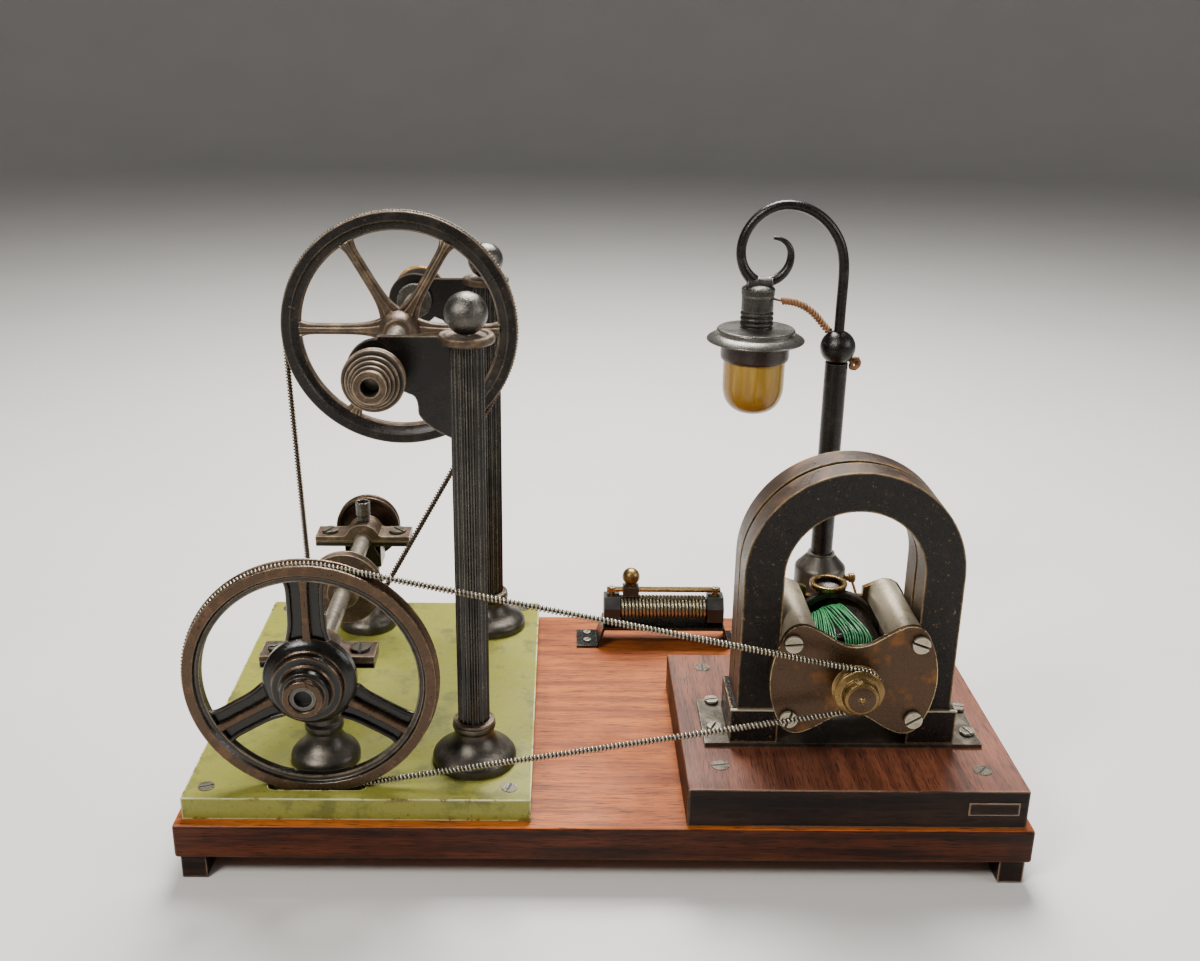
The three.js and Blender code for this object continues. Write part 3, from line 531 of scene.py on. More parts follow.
for i, (x, y) in enumerate([(-158.5, -81.2), (-37.3, -80.7), (-36.3, 84.5), (-157.7, 82.5)]):
    slotted_screw(f"plate_screw_{i}", (x, y, PLATE_TOP - 0.1), 3.3, screw_steel, height=0.45,
        angle=20 + 55 * i)
for i, (x, y) in enumerate([(47.4, -74.7), (151.9, -77.5), (48.3, 7.5), (152, 7.5)]):
    slotted_screw(f"block_screw_{i}", (x, y, BLOCK_TOP - 0.1), 3.6, screw_steel, height=0.45,
        angle=10 + 40 * i)

# ---- columns, brackets and finials ----------------------------------------------------------
FLUTES, COLUMN_RADIUS, FLUTE_DEPTH = 18, 6.5, 0.85
BALL_RADIUS = 8.1
EYE_THICKNESS = 3.5


def bell(foot, neck, collar, collar_bottom, collar_top):
    """Profile of a turned foot: an upright rim, a bell, a neck and a collar."""
    return ([(0, 0), (foot, 0), (foot, 2.4)] + curve_between([(foot - 0.2, 3.4), (foot - 1.4, 6.6),
        (neck + 2.4, 6.2), (neck, 13)], 14) + [(neck, collar_bottom - 0.6), (collar, collar_bottom),
        (collar + 0.3, (collar_bottom + collar_top) / 2), (collar, collar_top), (0, collar_top)])


def fluted_shaft(name, x, y, z0, z1):
    """A column with rounded flutes down its sides."""
    outline = []
    for k in range(FLUTES * 10):
        angle = TURN * k / (FLUTES * 10)
        radius = COLUMN_RADIUS - FLUTE_DEPTH * abs(math.cos(FLUTES * angle / 2)) ** 1.6
        outline.append((radius * math.cos(angle), radius * math.sin(angle)))
    sheet_cut(name, outline, z0, z1, column_black, rounded=0, turn=lambda v: (v[0] + x, v[2] + y, v[1]))


def bracket_outline(drop):
    """The bracket's outline about the column's axis: a round end, a level top and a curved gusset."""
    reach = COLUMN_X - UPPER_X
    top, end_radius = 2.5, 12
    level = math.degrees(math.asin(min(1, (top + drop) / end_radius)))
    return ([(-5.7, top), (-reach + end_radius * math.cos(math.radians(level)), top)]
        + arc(-reach, -drop, end_radius, level, 318, 40) + curve_between([(-reach + 11, -drop - 9),
        (-reach + 14.5, -drop - 9.5), (-reach + 14.2, -drop - 15.5)], 8)
        + curve_between([(-reach + 14.4, -drop - 17), (-reach + 17, -drop - 22), (-5.7, -drop - 26.5)], 12))


for side, y, height in (("front", FRONT_ROW, 177), ("rear", REAR_ROW, 173.75)):
    foot = turned(f"{side}_column_foot", bell(17.25, 8, 8.6, 15.2, 17.6), foot_metal,
        (COLUMN_X, y, PLATE_TOP), "Z", sides=128)
    fluted_shaft(f"{side}_column_shaft", COLUMN_X, y, PLATE_TOP + 17.5, PLATE_TOP + height)
    turned(f"{side}_column_lip", [(6.4, 0), (8.3, 0), (8.7, 0.6), (8.3, 1.3), (6.9, 1.6), (6.4, 1.6),
        (6.4, 0)], rusty_iron, (COLUMN_X, y, PLATE_TOP + 17.7), "Z")
    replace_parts(foot, f"{side}_column")

    eye_z = PLATE_TOP + height
    drop = eye_z - UPPER_Z
    plate = sheet_cut(f"{side}_bracket_plate", shifted(bracket_outline(drop), COLUMN_X, eye_z),
        y - 1.25, y + 1.25, japan, rounded=0.4)
    turned(f"{side}_bracket_eye", [(0, 0.1), (10, 0.1), (10.6, 0.8), (10.7, 1.8), (10.5, 2.9), (9.9, 3.4),
        (8.4, 3.45), (7.6, 2.8), (0, 2.8)], rusty_iron, (COLUMN_X, y, eye_z), "Z")
    turned(f"{side}_bracket_bush", [(4.1, -4.5), (7.6, -4.5), (8.1, -4), (8.1, 4), (7.6, 4.5), (4.1, 4.5),
        (4.1, -4.5)], dark_steel, (UPPER_X, y, UPPER_Z))
    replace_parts(plate, f"{side}_bracket")

    start = -math.degrees(math.asin(7.5 / BALL_RADIUS))
    profile = [(0, 0)] + [(r, z + 7.5) for r, z in arc(0, 0, BALL_RADIUS, start, 90, 30)]
    ball = turned(f"{side}_ball", profile, dark_steel, (COLUMN_X, y, eye_z + EYE_THICKNESS), "Z", rounded=0)
    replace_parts(ball, f"{side}_finial")

# ---- pedestals, bearing caps and oil cups ---------------------------------------------------
EAR_REACH, EAR_THICKNESS, BORE_RADIUS = 23, 2.6, 3.9
HEAD_HALF, HEAD_FOOT, HALF_DEPTH = 8.75, -13.5, 6.75
head = ([(-EAR_REACH, -EAR_THICKNESS), (-HEAD_HALF, -EAR_THICKNESS), (-HEAD_HALF, HEAD_FOOT),
         (HEAD_HALF, HEAD_FOOT), (HEAD_HALF, -EAR_THICKNESS), (EAR_REACH, -EAR_THICKNESS), (EAR_REACH, -0.15)]
        + arc(0, 0, BORE_RADIUS, -2.5, -177.5, 20) + [(-EAR_REACH, -0.15)])
cap = ([(-EAR_REACH, 0.1), (-EAR_REACH, EAR_THICKNESS), (-9.6, EAR_THICKNESS)] + arc(0, 0, 8.7, 158, 22, 28)
       + [(9.6, EAR_THICKNESS), (EAR_REACH, EAR_THICKNESS), (EAR_REACH, 0.1)]
       + arc(0, 0, BORE_RADIUS, 2.5, 177.5, 20))
for side, y in (("front", FRONT_ROW), ("rear", REAR_ROW)):
    at = (COUNTER_X, y, PLATE_TOP)
    foot = turned(f"{side}_pedestal_foot", bell(14.25, 7, 7.8, 14.6, 17.4)[:-1]
        + [(6.6, 18.4), (6.2, 22), (6.2, 27), (7, 32), (8, 36.5), (0, 36.5)], foot_metal, at, "Z")
    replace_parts(foot, f"{side}_pedestal")
    depth = (y - HALF_DEPTH, y + HALF_DEPTH)
    sheet_cut(f"{side}_pedestal_head", shifted(head, COUNTER_X, COUNTER_Z), *depth, japan, rounded=0.5)
    cap_piece = sheet_cut(f"{side}_cap", shifted(cap, COUNTER_X, COUNTER_Z), *depth, rusty_iron, rounded=0.45)
    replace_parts(cap_piece, f"{side}_bearing_cap")
    cup = turned(f"{side}_cup", [(0, 0), (3.1, 0), (3.1, 2.2), (3.6, 2.8), (3.6, 9.2), (3.4, 9.5),
        (2.7, 9.5), (2.6, 9), (2.6, 2), (0, 2)], dark_steel, (COUNTER_X, y, COUNTER_Z + 8.95), "Z",
        sides=48)
    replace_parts(cup, f"{side}_oil_cup")
    for k, offset in enumerate((-16.5, 16.5)):
        slotted_screw(f"{side}_cap_screw_{k}", (COUNTER_X + offset, y, COUNTER_Z + EAR_THICKNESS), 4,
            screw_steel, height=1.5, slot=1.1, angle=25 + 70 * k + (40 if side == "rear" else 0))


# ---- wheels ---------------------------------------------------------------------------------
SPOKE_STEPS = 24


def spoke_outline(from_radius, to_radius, waist, flare_in, flare_out, reach_in, reach_out):
    """A spoke drawn upright, with a waist and a curved flare where it meets hub and rim."""
    side = []
    span = to_radius - from_radius
    for i in range(SPOKE_STEPS + 1):
        t = i / SPOKE_STEPS
        width = (waist / 2 + flare_in * math.exp(-(t * span / reach_in) ** 1.4)
                 + flare_out * math.exp(-((1 - t) * span / reach_out) ** 1.4))
        side.append((width, from_radius + span * t))
    return side + [(-w, r) for w, r in reversed(side)]


def spun(x, z, y, degrees):
    """Turns an upright point about a shaft along Y and puts it in its place."""
    c, s = math.cos(math.radians(degrees)), math.sin(math.radians(degrees))
    return lambda v: (x + c * v[0] + s * v[2], y + v[1], z - s * v[0] + c * v[2])


at = (COUNTER_X, DRIVE_PLANE, COUNTER_Z)
rim = turned("front_wheel_rim", [(42.5, -0.8), (43.2, -1.4), (44.3, -1.4), (45.2, -2.7), (49.2, -2.7),
    (49.4, -1.9), (48, -1.2), (47.2, 0), (48, 1.2), (50.1, 1.9), (50.3, 2.6), (42.5, 2.6), (42.5, -0.8)],
    [copper_ring, japan], at, body="counter", sides=160, bands=[1, 1, 1, 0, 0, 0, 0, 0, 0, 0, 1, 1])
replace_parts(rim, "front_wheel")
turned("front_wheel_inner_bead", [(42.3, -1.2), (42.5, -1.6), (42.9, -1.6), (43.1, -1.2), (42.9, -0.8),
    (42.4, -0.8), (42.3, -1.2)], rim_iron, at, body="counter", sides=144, rounded=0)
turned("front_wheel_hub", [(3.8, 6), (9, 6), (18.2, 2.7), (18.4, -1.2), (17.2, -2.6), (16, -3.4),
    (14.6, -3.8), (14, -4.4), (13.9, -7.2), (13.4, -7.9), (10.6, -8), (9.9, -8.8), (9.8, -11.8),
    (9.3, -12.6), (7.9, -13), (7.8, -15.8), (7.4, -16.2), (5.6, -16.2), (5.2, -15.8), (5.2, -9), (3.8, -9),
    (3.8, 6)], [japan, copper_ring, dark_steel], at, body="counter",
    bands=[0, 0, 0, 0, 0, 0, 1, 0, 1, 0, 1, 0, 0, 0, 1, 1, 1, 1, 2, 2, 2])
for angle in (0, 120, 240):
    turn = spun(COUNTER_X, COUNTER_Z, DRIVE_PLANE, angle)
    sheet_cut(f"front_wheel_spoke_{angle}", spoke_outline(13, 43.4, 12.6, 1.6, 1.2, 5, 2.4), 0.4, 2.4,
        japan, "counter", 0.4, turn=turn)
    sheet_cut(f"front_wheel_rib_{angle}", spoke_outline(13, 42.7, 3.0, 1.4, 0.4, 4, 2), -2.2, 0.6,
        copper_ring, "counter", 0.8, turn=turn)
    for k in (-1, 1):
        edge = [(k * w, r) for w, r in spoke_outline(17, 42, 12.4, 1.4, 0.9, 4, 2)[:SPOKE_STEPS + 1]]
        wire(f"front_wheel_web_edge_{angle}_{'r' if k > 0 else 'l'}", [turn((x, -0.1, z)) for x, z in edge],
            1.0, japan, "counter")

# The sleeve's bore and its floor are painted dark as the shade inside it.
turned("front_wheel_shaft_sleeve", [(3.8, -12), (4.4, -12), (5.1, -12.4), (5.1, -15.2), (3.4, -15.2),
    (3.4, -12.6), (0, -12.6), (0, -11.6), (3.8, -11.6)], [dark_steel, painted_shade_dark], at, body="counter",
    sides=64, bands=[0, 0, 0, 0, 1, 1, 1, 1])

at = (UPPER_X, UPPER_PLANE, UPPER_Z)
rim = turned("upper_wheel_rim", [(41.2, -0.4), (42, -1.4), (44.4, -2), (45.4, -3), (49, -3), (49.4, -2.6),
    (49.4, -1.9), (47.9, -1.3), (46.9, 0), (47.9, 1.3), (49.4, 1.9), (49.4, 2.6), (49, 3), (45.2, 3),
    (41.4, 2), (41.2, -0.4)], [rusty_iron, rim_iron], at, body="upper", sides=160,
    bands=[0, 1, 1, 1, 0, 0, 0, 0, 0, 0, 0, 0, 1, 1, 0])
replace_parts(rim, "upper_wheel")
turned("upper_wheel_hub", [(3.95, 8), (6.6, 8), (8.2, 5.6), (8.3, -3.6), (7.4, -6.6), (6.2, -8.6),
    (5.6, -9), (3.95, -9), (3.95, 8)], rusty_iron, at, body="upper")
for angle in range(30, 390, 60):
    turn = spun(UPPER_X, UPPER_Z, UPPER_PLANE, angle)
    sheet_cut(f"upper_wheel_spoke_{angle}", spoke_outline(5, 42, 4.6, 3.4, 1.4, 6, 2.4), -1.4, 2,
        rusty_iron, "upper", 1.0, turn=turn)
    sheet_cut(f"upper_wheel_rib_{angle}", spoke_outline(5, 42, 1.8, 1.6, 0.6, 6, 2), -2.4, -1, rusty_iron,
        "upper", 0.5, turn=turn)

# ---- the countershaft's small pulleys -------------------------------------------------------
shaft = turned("lower_shaft", [(0, -86.4), (3.3, -86.4), (3.75, -86), (3.75, 85.6), (3.3, 86), (0, 86)],
    shaft_steel, (COUNTER_X, 0, COUNTER_Z), body="counter", sides=48)
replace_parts(shaft, "countershaft")
middle = turned("middle_grooved_pulley", [(3.8, -8), (6.8, -8), (7.2, -7.5), (7.2, -3.2), (14.6, -2.8),
    (16.6, -2.6), (16.8, -2.2), (15, -1.2), (14.1, 0), (15, 1.2), (16.8, 2.2), (16.6, 2.6), (7.2, 2.8),
    (7.2, 6), (3.8, 6), (3.8, -8)], rusty_iron, (COUNTER_X, UPPER_PLANE, COUNTER_Z), body="counter")
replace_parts(middle, "middle_pulley")
disc = turned("flanged_disc", [(3.8, -1), (6.2, -1), (6.5, -0.6), (6.5, 1.5), (12.8, 1.4), (13.6, 0.4),
    (14, -2.1), (14.4, -2.5), (15.5, -2.5), (15.8, -2.1), (15.8, -1), (14.6, 0.2), (15.8, 1.4),
    (15.8, 2.8), (6.5, 3.6), (6, 6), (3.8, 6), (3.8, -1)], [copper_ring, dark_collar],
    (COUNTER_X, 79.5, COUNTER_Z), body="counter", bands=[0, 0, 0, 1, 1, 0, 0, 0, 0, 0, 0, 0, 0, 0, 0, 0,
    0])
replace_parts(disc, "rear_disc")

# ---- the upper shaft and its cone pulleys ---------------------------------------------------
shaft = turned("line_shaft", [(0, -74.9), (3.5, -74.9), (3.9, -74.5), (3.9, 95.2), (3.5, 95.6), (0, 95.6)],
    shaft_steel, (UPPER_X, 0, UPPER_Z), body="upper", sides=48)
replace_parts(shaft, "upper_shaft")


def cone(name, y, way, finish, open_bore):
    """A stepped pulley whose steps shrink away from the bracket. way is -1 towards the front."""
    steps = [(11.7, 0.8, 2.4), (11.7, 3.4, 5.0), (10, 5.4, 7.0), (8.6, 7.4, 8.8), (7.3, 9.2, 10.6),
        (6.2, 11, 13.5)]
    # Faces numbered 1 take the painted shade: the grooves between the steps, the end face by the bracket and
    # the bore.
    profile = [(4.0, 0.1), (9, 0.1)]
    numbers = [1]
    for radius, low, high in steps:
        groove = radius - 0.9
        profile += [(groove, low - 0.25), (radius - 0.1, low), (radius, (low + high) / 2),
            (radius - 0.1, high), (groove, high + 0.2 if high < 13 else high)]
        numbers += [1, 0, 0, 0, 0]
    if open_bore:
        profile += [(3.6, 13.5), (3.3, 13.1), (3.3, 5.2), (4.0, 5.2), (4.0, 0.1)]
        numbers += [0, 0, 1, 1, 1]
    else:
        profile += [(4.0, 13.5), (4.0, 0.1)]
        numbers += [0, 1]
    return turned(name, [(r, way * a) for r, a in profile], [finish, painted_shade_dark], (UPPER_X, y, UPPER_Z),
        body="upper", rounded=0.1, bands=numbers)


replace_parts(cone("front_cone", FRONT_ROW - 11.5, -1, rusty_iron, True), "front_cone_pulley")
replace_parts(cone("rear_cone", REAR_ROW + 17.4, 1, gold_ring, False), "rear_cone_pulley")


# ---- spring belts ---------------------------------------------------------------------------
def belt_route(first, second, y):
    """The length of a belt round two circles (x, z, radius), and the point at each distance along it."""
    (x1, z1, r1), (x2, z2, r2) = first, second
    across = math.atan2(z2 - z1, x2 - x1)
    distance = math.hypot(x2 - x1, z2 - z1)
    lean = math.acos((r1 - r2) / distance)
    straight = math.sqrt(distance ** 2 - (r1 - r2) ** 2)
    far, near = r2 * 2 * lean, r1 * (TURN - 2 * lean)
    upper_dir, lower_dir = across + lean, across - lean

    def at_angle(x, z, radius, angle):
        outward = Vector((math.cos(angle), 0, math.sin(angle)))
        return Vector((x, y, z)) + radius * outward, outward

    def route(along):
        along %= near + far + 2 * straight
        if along < near:
            return at_angle(x1, z1, r1, upper_dir + along / r1)
        along -= near
        if along < straight:
            start, outward = at_angle(x1, z1, r1, lower_dir)
            return start.lerp(at_angle(x2, z2, r2, lower_dir)[0], along / straight), outward
        along -= straight
        if along < far:
            return at_angle(x2, z2, r2, lower_dir + along / r2)
        start, outward = at_angle(x2, z2, r2, upper_dir)
        return start.lerp(at_angle(x1, z1, r1, upper_dir)[0], (along - far) / straight), outward

    return near + far + 2 * straight, route


def spring_belt(name, node, first, second, y, finish, pitch, wire_radius, coil_radius):
    """A closed coil round two pulleys. The dark wire along its middle is the shade inside the coil."""
    length, route = belt_route(first, second, y)

    def path(along):
        point, outward = route(along)
        return point, outward, Vector((0, 1, 0))

    belt = coiled(name, path, length, coil_radius, wire_radius, pitch, finish, closed=True)
    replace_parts(belt, node)
    middle = [path(length * i / 240)[0] for i in range(240)]
    wire(f"{name}_middle", middle, coil_radius - 0.35, painted_shade_dark, closed=True, smooth=False)


spring_belt("bronze_spring_belt", "upper_belt", (COUNTER_X, COUNTER_Z, 15.7), (UPPER_X, UPPER_Z, 48.6),
    UPPER_PLANE, bronze_spring, 1.4, 0.38, 1.02)
spring_belt("nickel_spring_belt", "drive_belt", (COUNTER_X, COUNTER_Z, 48.9), (DYNAMO_X, DYNAMO_Z, 8.7),
    DRIVE_PLANE, nickel_spring, 1.55, 0.4, 1.05)


# ---- the dynamo's magnets, shoes and plates -------------------------------------------------
MAGNET_OUTER, MAGNET_INNER, ARCH_RISE, MAGNET_FOOT = 43.5, 27.5, 39, -20
horseshoe = ([(-MAGNET_OUTER, MAGNET_FOOT)] + arc(0, ARCH_RISE, MAGNET_OUTER, 180, 0, 60)
    + [(MAGNET_OUTER, MAGNET_FOOT), (MAGNET_INNER, MAGNET_FOOT)]
    + arc(0, ARCH_RISE, MAGNET_INNER, 0, 180, 48) + [(-MAGNET_INNER, MAGNET_FOOT)])
for side, y in (("front", -59.5), ("rear", -44.75)):
    magnet = sheet_cut(f"{side}_horseshoe", shifted(horseshoe, DYNAMO_X, DYNAMO_Z), y, y + 12, magnet_black,
        rounded=1.3, side_finish=magnet_side)
    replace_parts(magnet, f"{side}_magnet")
for node in ("left_keeper", "right_keeper"):
    repaint(node, magnet_black, 0.7)
repaint("magnet_plate", plate_steel, 0.35)
for side in (-1, 1):
    x0, x1 = sorted((DYNAMO_X + side * 26.6, DYNAMO_X + side * 46.2))
    block(f"keeper_ledge_{'r' if side > 0 else 'l'}", (x0, -61, 58.7), (x1, -59.7, 59.5), shoe_steel,
        rounded=0.2)
shoe_outline = ([(27.25, -20), (27.25, 17)] + arc(20.75, 17, 6.5, 0, 180, 28)
    + arc(0, 0, 19.6, 43.5, -43.5, 40) + [(14.3, -20)])
for side, label in ((1, "right"), (-1, "left")):
    shoe = sheet_cut(f"{label}_shoe", [(DYNAMO_X + side * x, DYNAMO_Z + z) for x, z in shoe_outline], -69.4,
        -26.6, shoe_steel, rounded=0.8)
    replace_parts(shoe, f"{label}_pole_shoe")
repaint("rear_end_plate", old_brass, 0.4)
for node in ("upper_brush", "lower_brush"):
    repaint(node, bright_brass, 0.15)

for i, (x, y) in enumerate([(48.7, -27.5), (47.5, -49.5), (152.5, -52.5), (154.4, -32.5)]):
    slotted_screw(f"base_plate_screw_{i}", (x, y, BLOCK_TOP + 2), 3, shaft_steel, height=1.6,
        angle=15 + 50 * i)

SHOE_FRONT = -69.5
END_PLATE = 2.5


def end_plate_quarter():
    """One quarter of the lobed plate's outline, from the middle of its waist to its side."""
    upper_lobe = (curve_between([(0, 14.6), (7, 14.6), (10, 19.5), (17, 22.5)], 14)
        + curve_between([(17, 22.5), (21, 25), (27, 24), (29, 17.5)], 12)[1:])
    return upper_lobe + curve_between([(29, 17.5), (31.8, 12), (33, 5), (33, 0)], 12)[1:]


quarter = end_plate_quarter()
half_outline = quarter + [(x, -z) for x, z in reversed(quarter[:-1])]
outline = half_outline + [(-x, z) for x, z in reversed(half_outline[1:-1])]
plate = sheet_cut("front_brass_plate", shifted(outline, DYNAMO_X, DYNAMO_Z), SHOE_FRONT - END_PLATE,
    SHOE_FRONT - 0.1, plate_brass, rounded=0.5)
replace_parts(plate, "front_end_plate")
turned("front_plate_boss", [(3.2, 0), (6.4, 0), (6.1, -2.2), (5.2, -3), (3.2, -3), (3.2, 0)], bright_brass,
       (DYNAMO_X, SHOE_FRONT - END_PLATE, DYNAMO_Z))
for i, (x, z, angle) in enumerate([(-24.8, 16.4, 5), (24.8, 16.4, -20), (-24.8, -16.8, 70),
        (24.8, -16.8, 32)]):
    slotted_screw(f"end_plate_screw_{i}", (DYNAMO_X + x, SHOE_FRONT - END_PLATE, DYNAMO_Z + z), 3.5,
        shoe_steel, "-Y", height=2.2, slot=1.1, angle=angle)

cup = turned("dynamo_cup", [(0, 0), (4.1, 0), (4.2, 2.4), (7.3, 3.3), (7.8, 4.2), (7.9, 5.6), (7.5, 6),
    (6.2, 6), (5.6, 5.4), (5.2, 3.4), (2.2, 2.2), (0, 2.1)], [bright_brass, dark_collar],
    (DYNAMO_X - 2.5, -25.25, DYNAMO_Z + 15.6), "Z", bands=[0, 0, 0, 0, 0, 0, 0, 0, 1, 1, 1])
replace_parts(cup, "dynamo_oil_cup")

# ---- the armature ---------------------------------------------------------------------------
at = (DYNAMO_X, 0, DYNAMO_Z)
drum = turned("armature_drum", [(3.05, -64), (12, -64), (15.6, -63.6), (16.4, -62.8), (16.4, -37.2),
    (15.6, -36.4), (12, -36), (3.05, -36), (3.05, -64)], japan, at, body="armature")
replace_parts(drum, "armature_core")
shaft = turned("armature_spindle", [(0, -83), (3, -83), (3, -17.4), (2.6, -17), (0, -17)], shaft_steel, at,
    body="armature", sides=48)
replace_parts(shaft, "armature_shaft")


def strand(name, x_front, x_back, lift, side):
    """One silk-covered wire: up the drum's front, along its top and down its back."""
    def over(x, radius):
        return math.sqrt(max(radius * radius - x * x, 1))

    points = [(x_front * 0.45, -66.6, 5), (x_front * 0.8, -67.2, 9.5), (x_front, -66.9, over(x_front, 16.4))]
    for i in range(1, 6):
        t = i / 6
        x = x_front + (x_back - x_front) * t + 0.3 * math.sin(6 * t + x_front * 9)
        points.append((x, -66 + 30.5 * t, over(x, lift + 0.35 * math.sin(5 * t + x_front * 7))))
    points += [(x_back, -35, over(x_back, 16.2)), (x_back * 0.8, -34.2, 9.5), (x_back * 0.45, -34.6, 5)]
    return wire(name, [(DYNAMO_X + side * x, y, DYNAMO_Z + side * z) for x, y, z in points], 0.3, silk,
        "armature", sides=1)


first_strand = None
for side, label in ((1, "top"), (-1, "under")):
    for k in range(11):
        t = k / 10
        made = strand(f"silk_left_{label}_{k}", -14.6 + 7.6 * t, -11.4 + 5.4 * t, 17.6 - 0.5 * (k % 2), side)
        first_strand = first_strand or made
        strand(f"silk_right_{label}_{k}", -3.2 + 11 * t, -7.4 + 6.2 * t, 17.9 - 0.5 * (k % 2), side)
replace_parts(first_strand, "armature_winding")

turned("armature_end_ring", [(16.6, -31), (18.7, -31), (19.2, -30.5), (19.2, -27.6), (16.6, -27.6),
    (16.6, -31)], foot_metal, at)
ring = turned("commutator_ring", [(3.1, -32.75), (5.8, -32.75), (6, -32.5), (6, -28.5), (5.8, -28.25),
    (3.1, -28.25), (3.1, -32.75)], bright_brass, at, body="armature")
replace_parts(ring, "commutator")
pulley = turned("brass_pulley", [(0, -8.7), (0.7, -8.6), (1.1, -8.1), (1.3, -7.9), (5.4, -7.6), (6.4, -7.2),
    (7, -6.2), (7.1, -5), (6.8, -4.6), (7.1, -4.2), (7.2, -3.5), (9, -3.2), (9.7, -2.7), (9.8, -2.1),
    (8.1, -1.4), (7.2, 0), (8.1, 1.4), (9.8, 2.1), (9.7, 2.6), (9, 3.1), (5, 4), (3.05, 4), (3.05, -3),
    (0, -3)], [old_brass, plate_brass], (DYNAMO_X, DRIVE_PLANE, DYNAMO_Z), body="armature", rounded=0.15,
    bands=[0, 0, 1, 1, 0, 0, 0, 1, 0, 0, 0, 0, 0, 1, 1, 1, 0, 0, 0, 0, 0, 0, 0])
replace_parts(pulley, "dynamo_pulley")

# ---- the street lamp ------------------------------------------------------------------------
at = (LAMP_X, LAMP_Y, 0)
foot = turned("lamp_foot", [(0, BOARD_TOP), (15.3, BOARD_TOP), (15.5, 26), (15.5, 28), (15, 29.2),
    (12.9, 31), (12.2, 33), (12.2, 71.6), (12, 72.8), (11, 74), (7.4, 78), (6.6, 78.9), (6.4, 80.1),
    (0, 80.1)], foot_metal, at, "Z")
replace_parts(foot, "lamp_base")
shaft = turned("lamp_column", [(0, 80.2), (5.2, 80.2), (5.2, 174.8), (0, 174.8)], gunmetal, at, "Z",
    rounded=0)
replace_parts(shaft, "lamp_post")
ball = turned("lamp_round", [(0, 174.8)] + [(r, z + 182) for r, z in arc(0, 0, 8.05, -63.4, 68.6, 30)]
    + [(0, 189.5)], gunmetal, at, "Z", rounded=0)
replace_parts(ball, "lamp_ball")

crook = [(0, 189.4), (0, 194), (0, 203), (0.2, 212), (0, 220.5), (-1.6, 228), (-4.6, 233.8), (-8.6, 238.8),
    (-13.6, 242.8), (-19.5, 245.6), (-26.5, 246.8), (-32.6, 245.8), (-38.4, 242.8), (-43, 238),
    (-46, 232.2), (-47, 226), (-46.2, 220), (-43.4, 215), (-39.6, 212)]
neck = wire("swan_crook", [(LAMP_X + x, LAMP_Y, z) for x, z in crook], 2.3, gunmetal, sides=6,
    taper=lambda t: 1.04 - 0.1 * t + 0.35 * max(0, t - 0.88) / 0.12)
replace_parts(neck, "swan_neck")
curl = [(-37, 211.6), (-32.6, 212.2), (-28.8, 214), (-25.8, 217.2), (-24.2, 221.4), (-24.2, 226),
    (-26, 229.6), (-29, 231.6), (-32.4, 231.9)]
wire("swan_curl", [(LAMP_X + x, LAMP_Y, z) for x, z in curl], 2.1, gunmetal, sides=6,
     taper=lambda t: 1.2 - 0.82 * t ** 1.3)

at = (LAMP_HEAD_X, LAMP_Y, 0)
threads = [(0, 191.6), (6.6, 191.6)]
for k in range(3):
    threads += curve_between([(6.6, 192 + 2.3 * k), (7.9, 192.2 + 2.3 * k), (7.9, 194 + 2.3 * k),
        (6.6, 194.2 + 2.3 * k)], 6)
socket = turned("socket_body", threads + [(7.2, 199.2), (7.3, 199.8), (7.2, 202.6), (7.3, 205.6), (7, 206),
    (7.5, 206.3), (7.6, 209), (7, 209.8), (5.4, 210.6), (3.6, 211.2), (0, 211.2)], socket_metal, at, "Z",
    rounded=0.1)
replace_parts(socket, "lamp_socket")
wire("socket_web", [(LAMP_HEAD_X - 5.2, LAMP_Y, 211.4), (LAMP_HEAD_X - 2, LAMP_Y, 211.3),
    (LAMP_HEAD_X + 2, LAMP_Y, 211), (LAMP_HEAD_X + 6, LAMP_Y, 211.2)], 3.5, socket_metal, sides=6)
shade = turned("shade_disc", [(0, 190.1), (15, 188.9), (18, 187.4), (21.6, 185.1), (22.2, 185.1),
    (22.4, 185.6), (22, 186.2), (18.6, 188.3), (17.9, 188.5), (17.9, 190.1), (17.4, 190.7), (8, 191.4),
    (0, 191.4)], shade_metal, at, "Z", sides=128)
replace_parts(shade, "lamp_shade")
collar = turned("collar_ring", [(14.6, 176.4), (15, 176.2), (15.5, 176.8), (15.7, 178.2), (15.7, 188.1),
    (14.6, 188.1), (14.6, 176.4)], dark_collar, at, "Z")
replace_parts(collar, "glass_collar")
outer = curve_between([(0, 150.6), (9, 150.8), (13.8, 154.5), (14.1, 164)], 16)
inner = [(r - 1.1 if r > 1.1 else 0, z + 1.3) for r, z in outer]
globe = turned("amber_globe", outer + [(14.2, 186.4), (13.1, 186.4)] + inner[::-1], amber, at, "Z", rounded=0)
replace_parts(globe, "lamp_glass")
bulb = turned("small_bulb", [(0, 162.6)] + [(r, z + 168.2) for r, z in arc(0, 0, 5.6, -80, 40, 20)]
    + [(4, 173.4), (4.3, 174.2), (4.3, 189), (0, 189)], [clear_glass, bright_brass], at, "Z", sides=48,
    bands=[0] * 21 + [0, 1, 1, 1], rounded=0)
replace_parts(bulb, "lamp_bulb")


def follow(points):
    """A smooth path through a few control points, with its sideways and upward directions."""
    places = [bezier(points, i / 60) for i in range(61)]
    length = sum((b - a).length for a, b in zip(places, places[1:]))

    def path(along):
        t = along / length
        ahead_of = (bezier(points, min(t + 0.01, 1)) - bezier(points, max(t - 0.01, 0))).normalized()
        side = ahead_of.cross(Vector((0, 1, 0))).normalized()
        return bezier(points, t), side, ahead_of.cross(side)

    return length, path


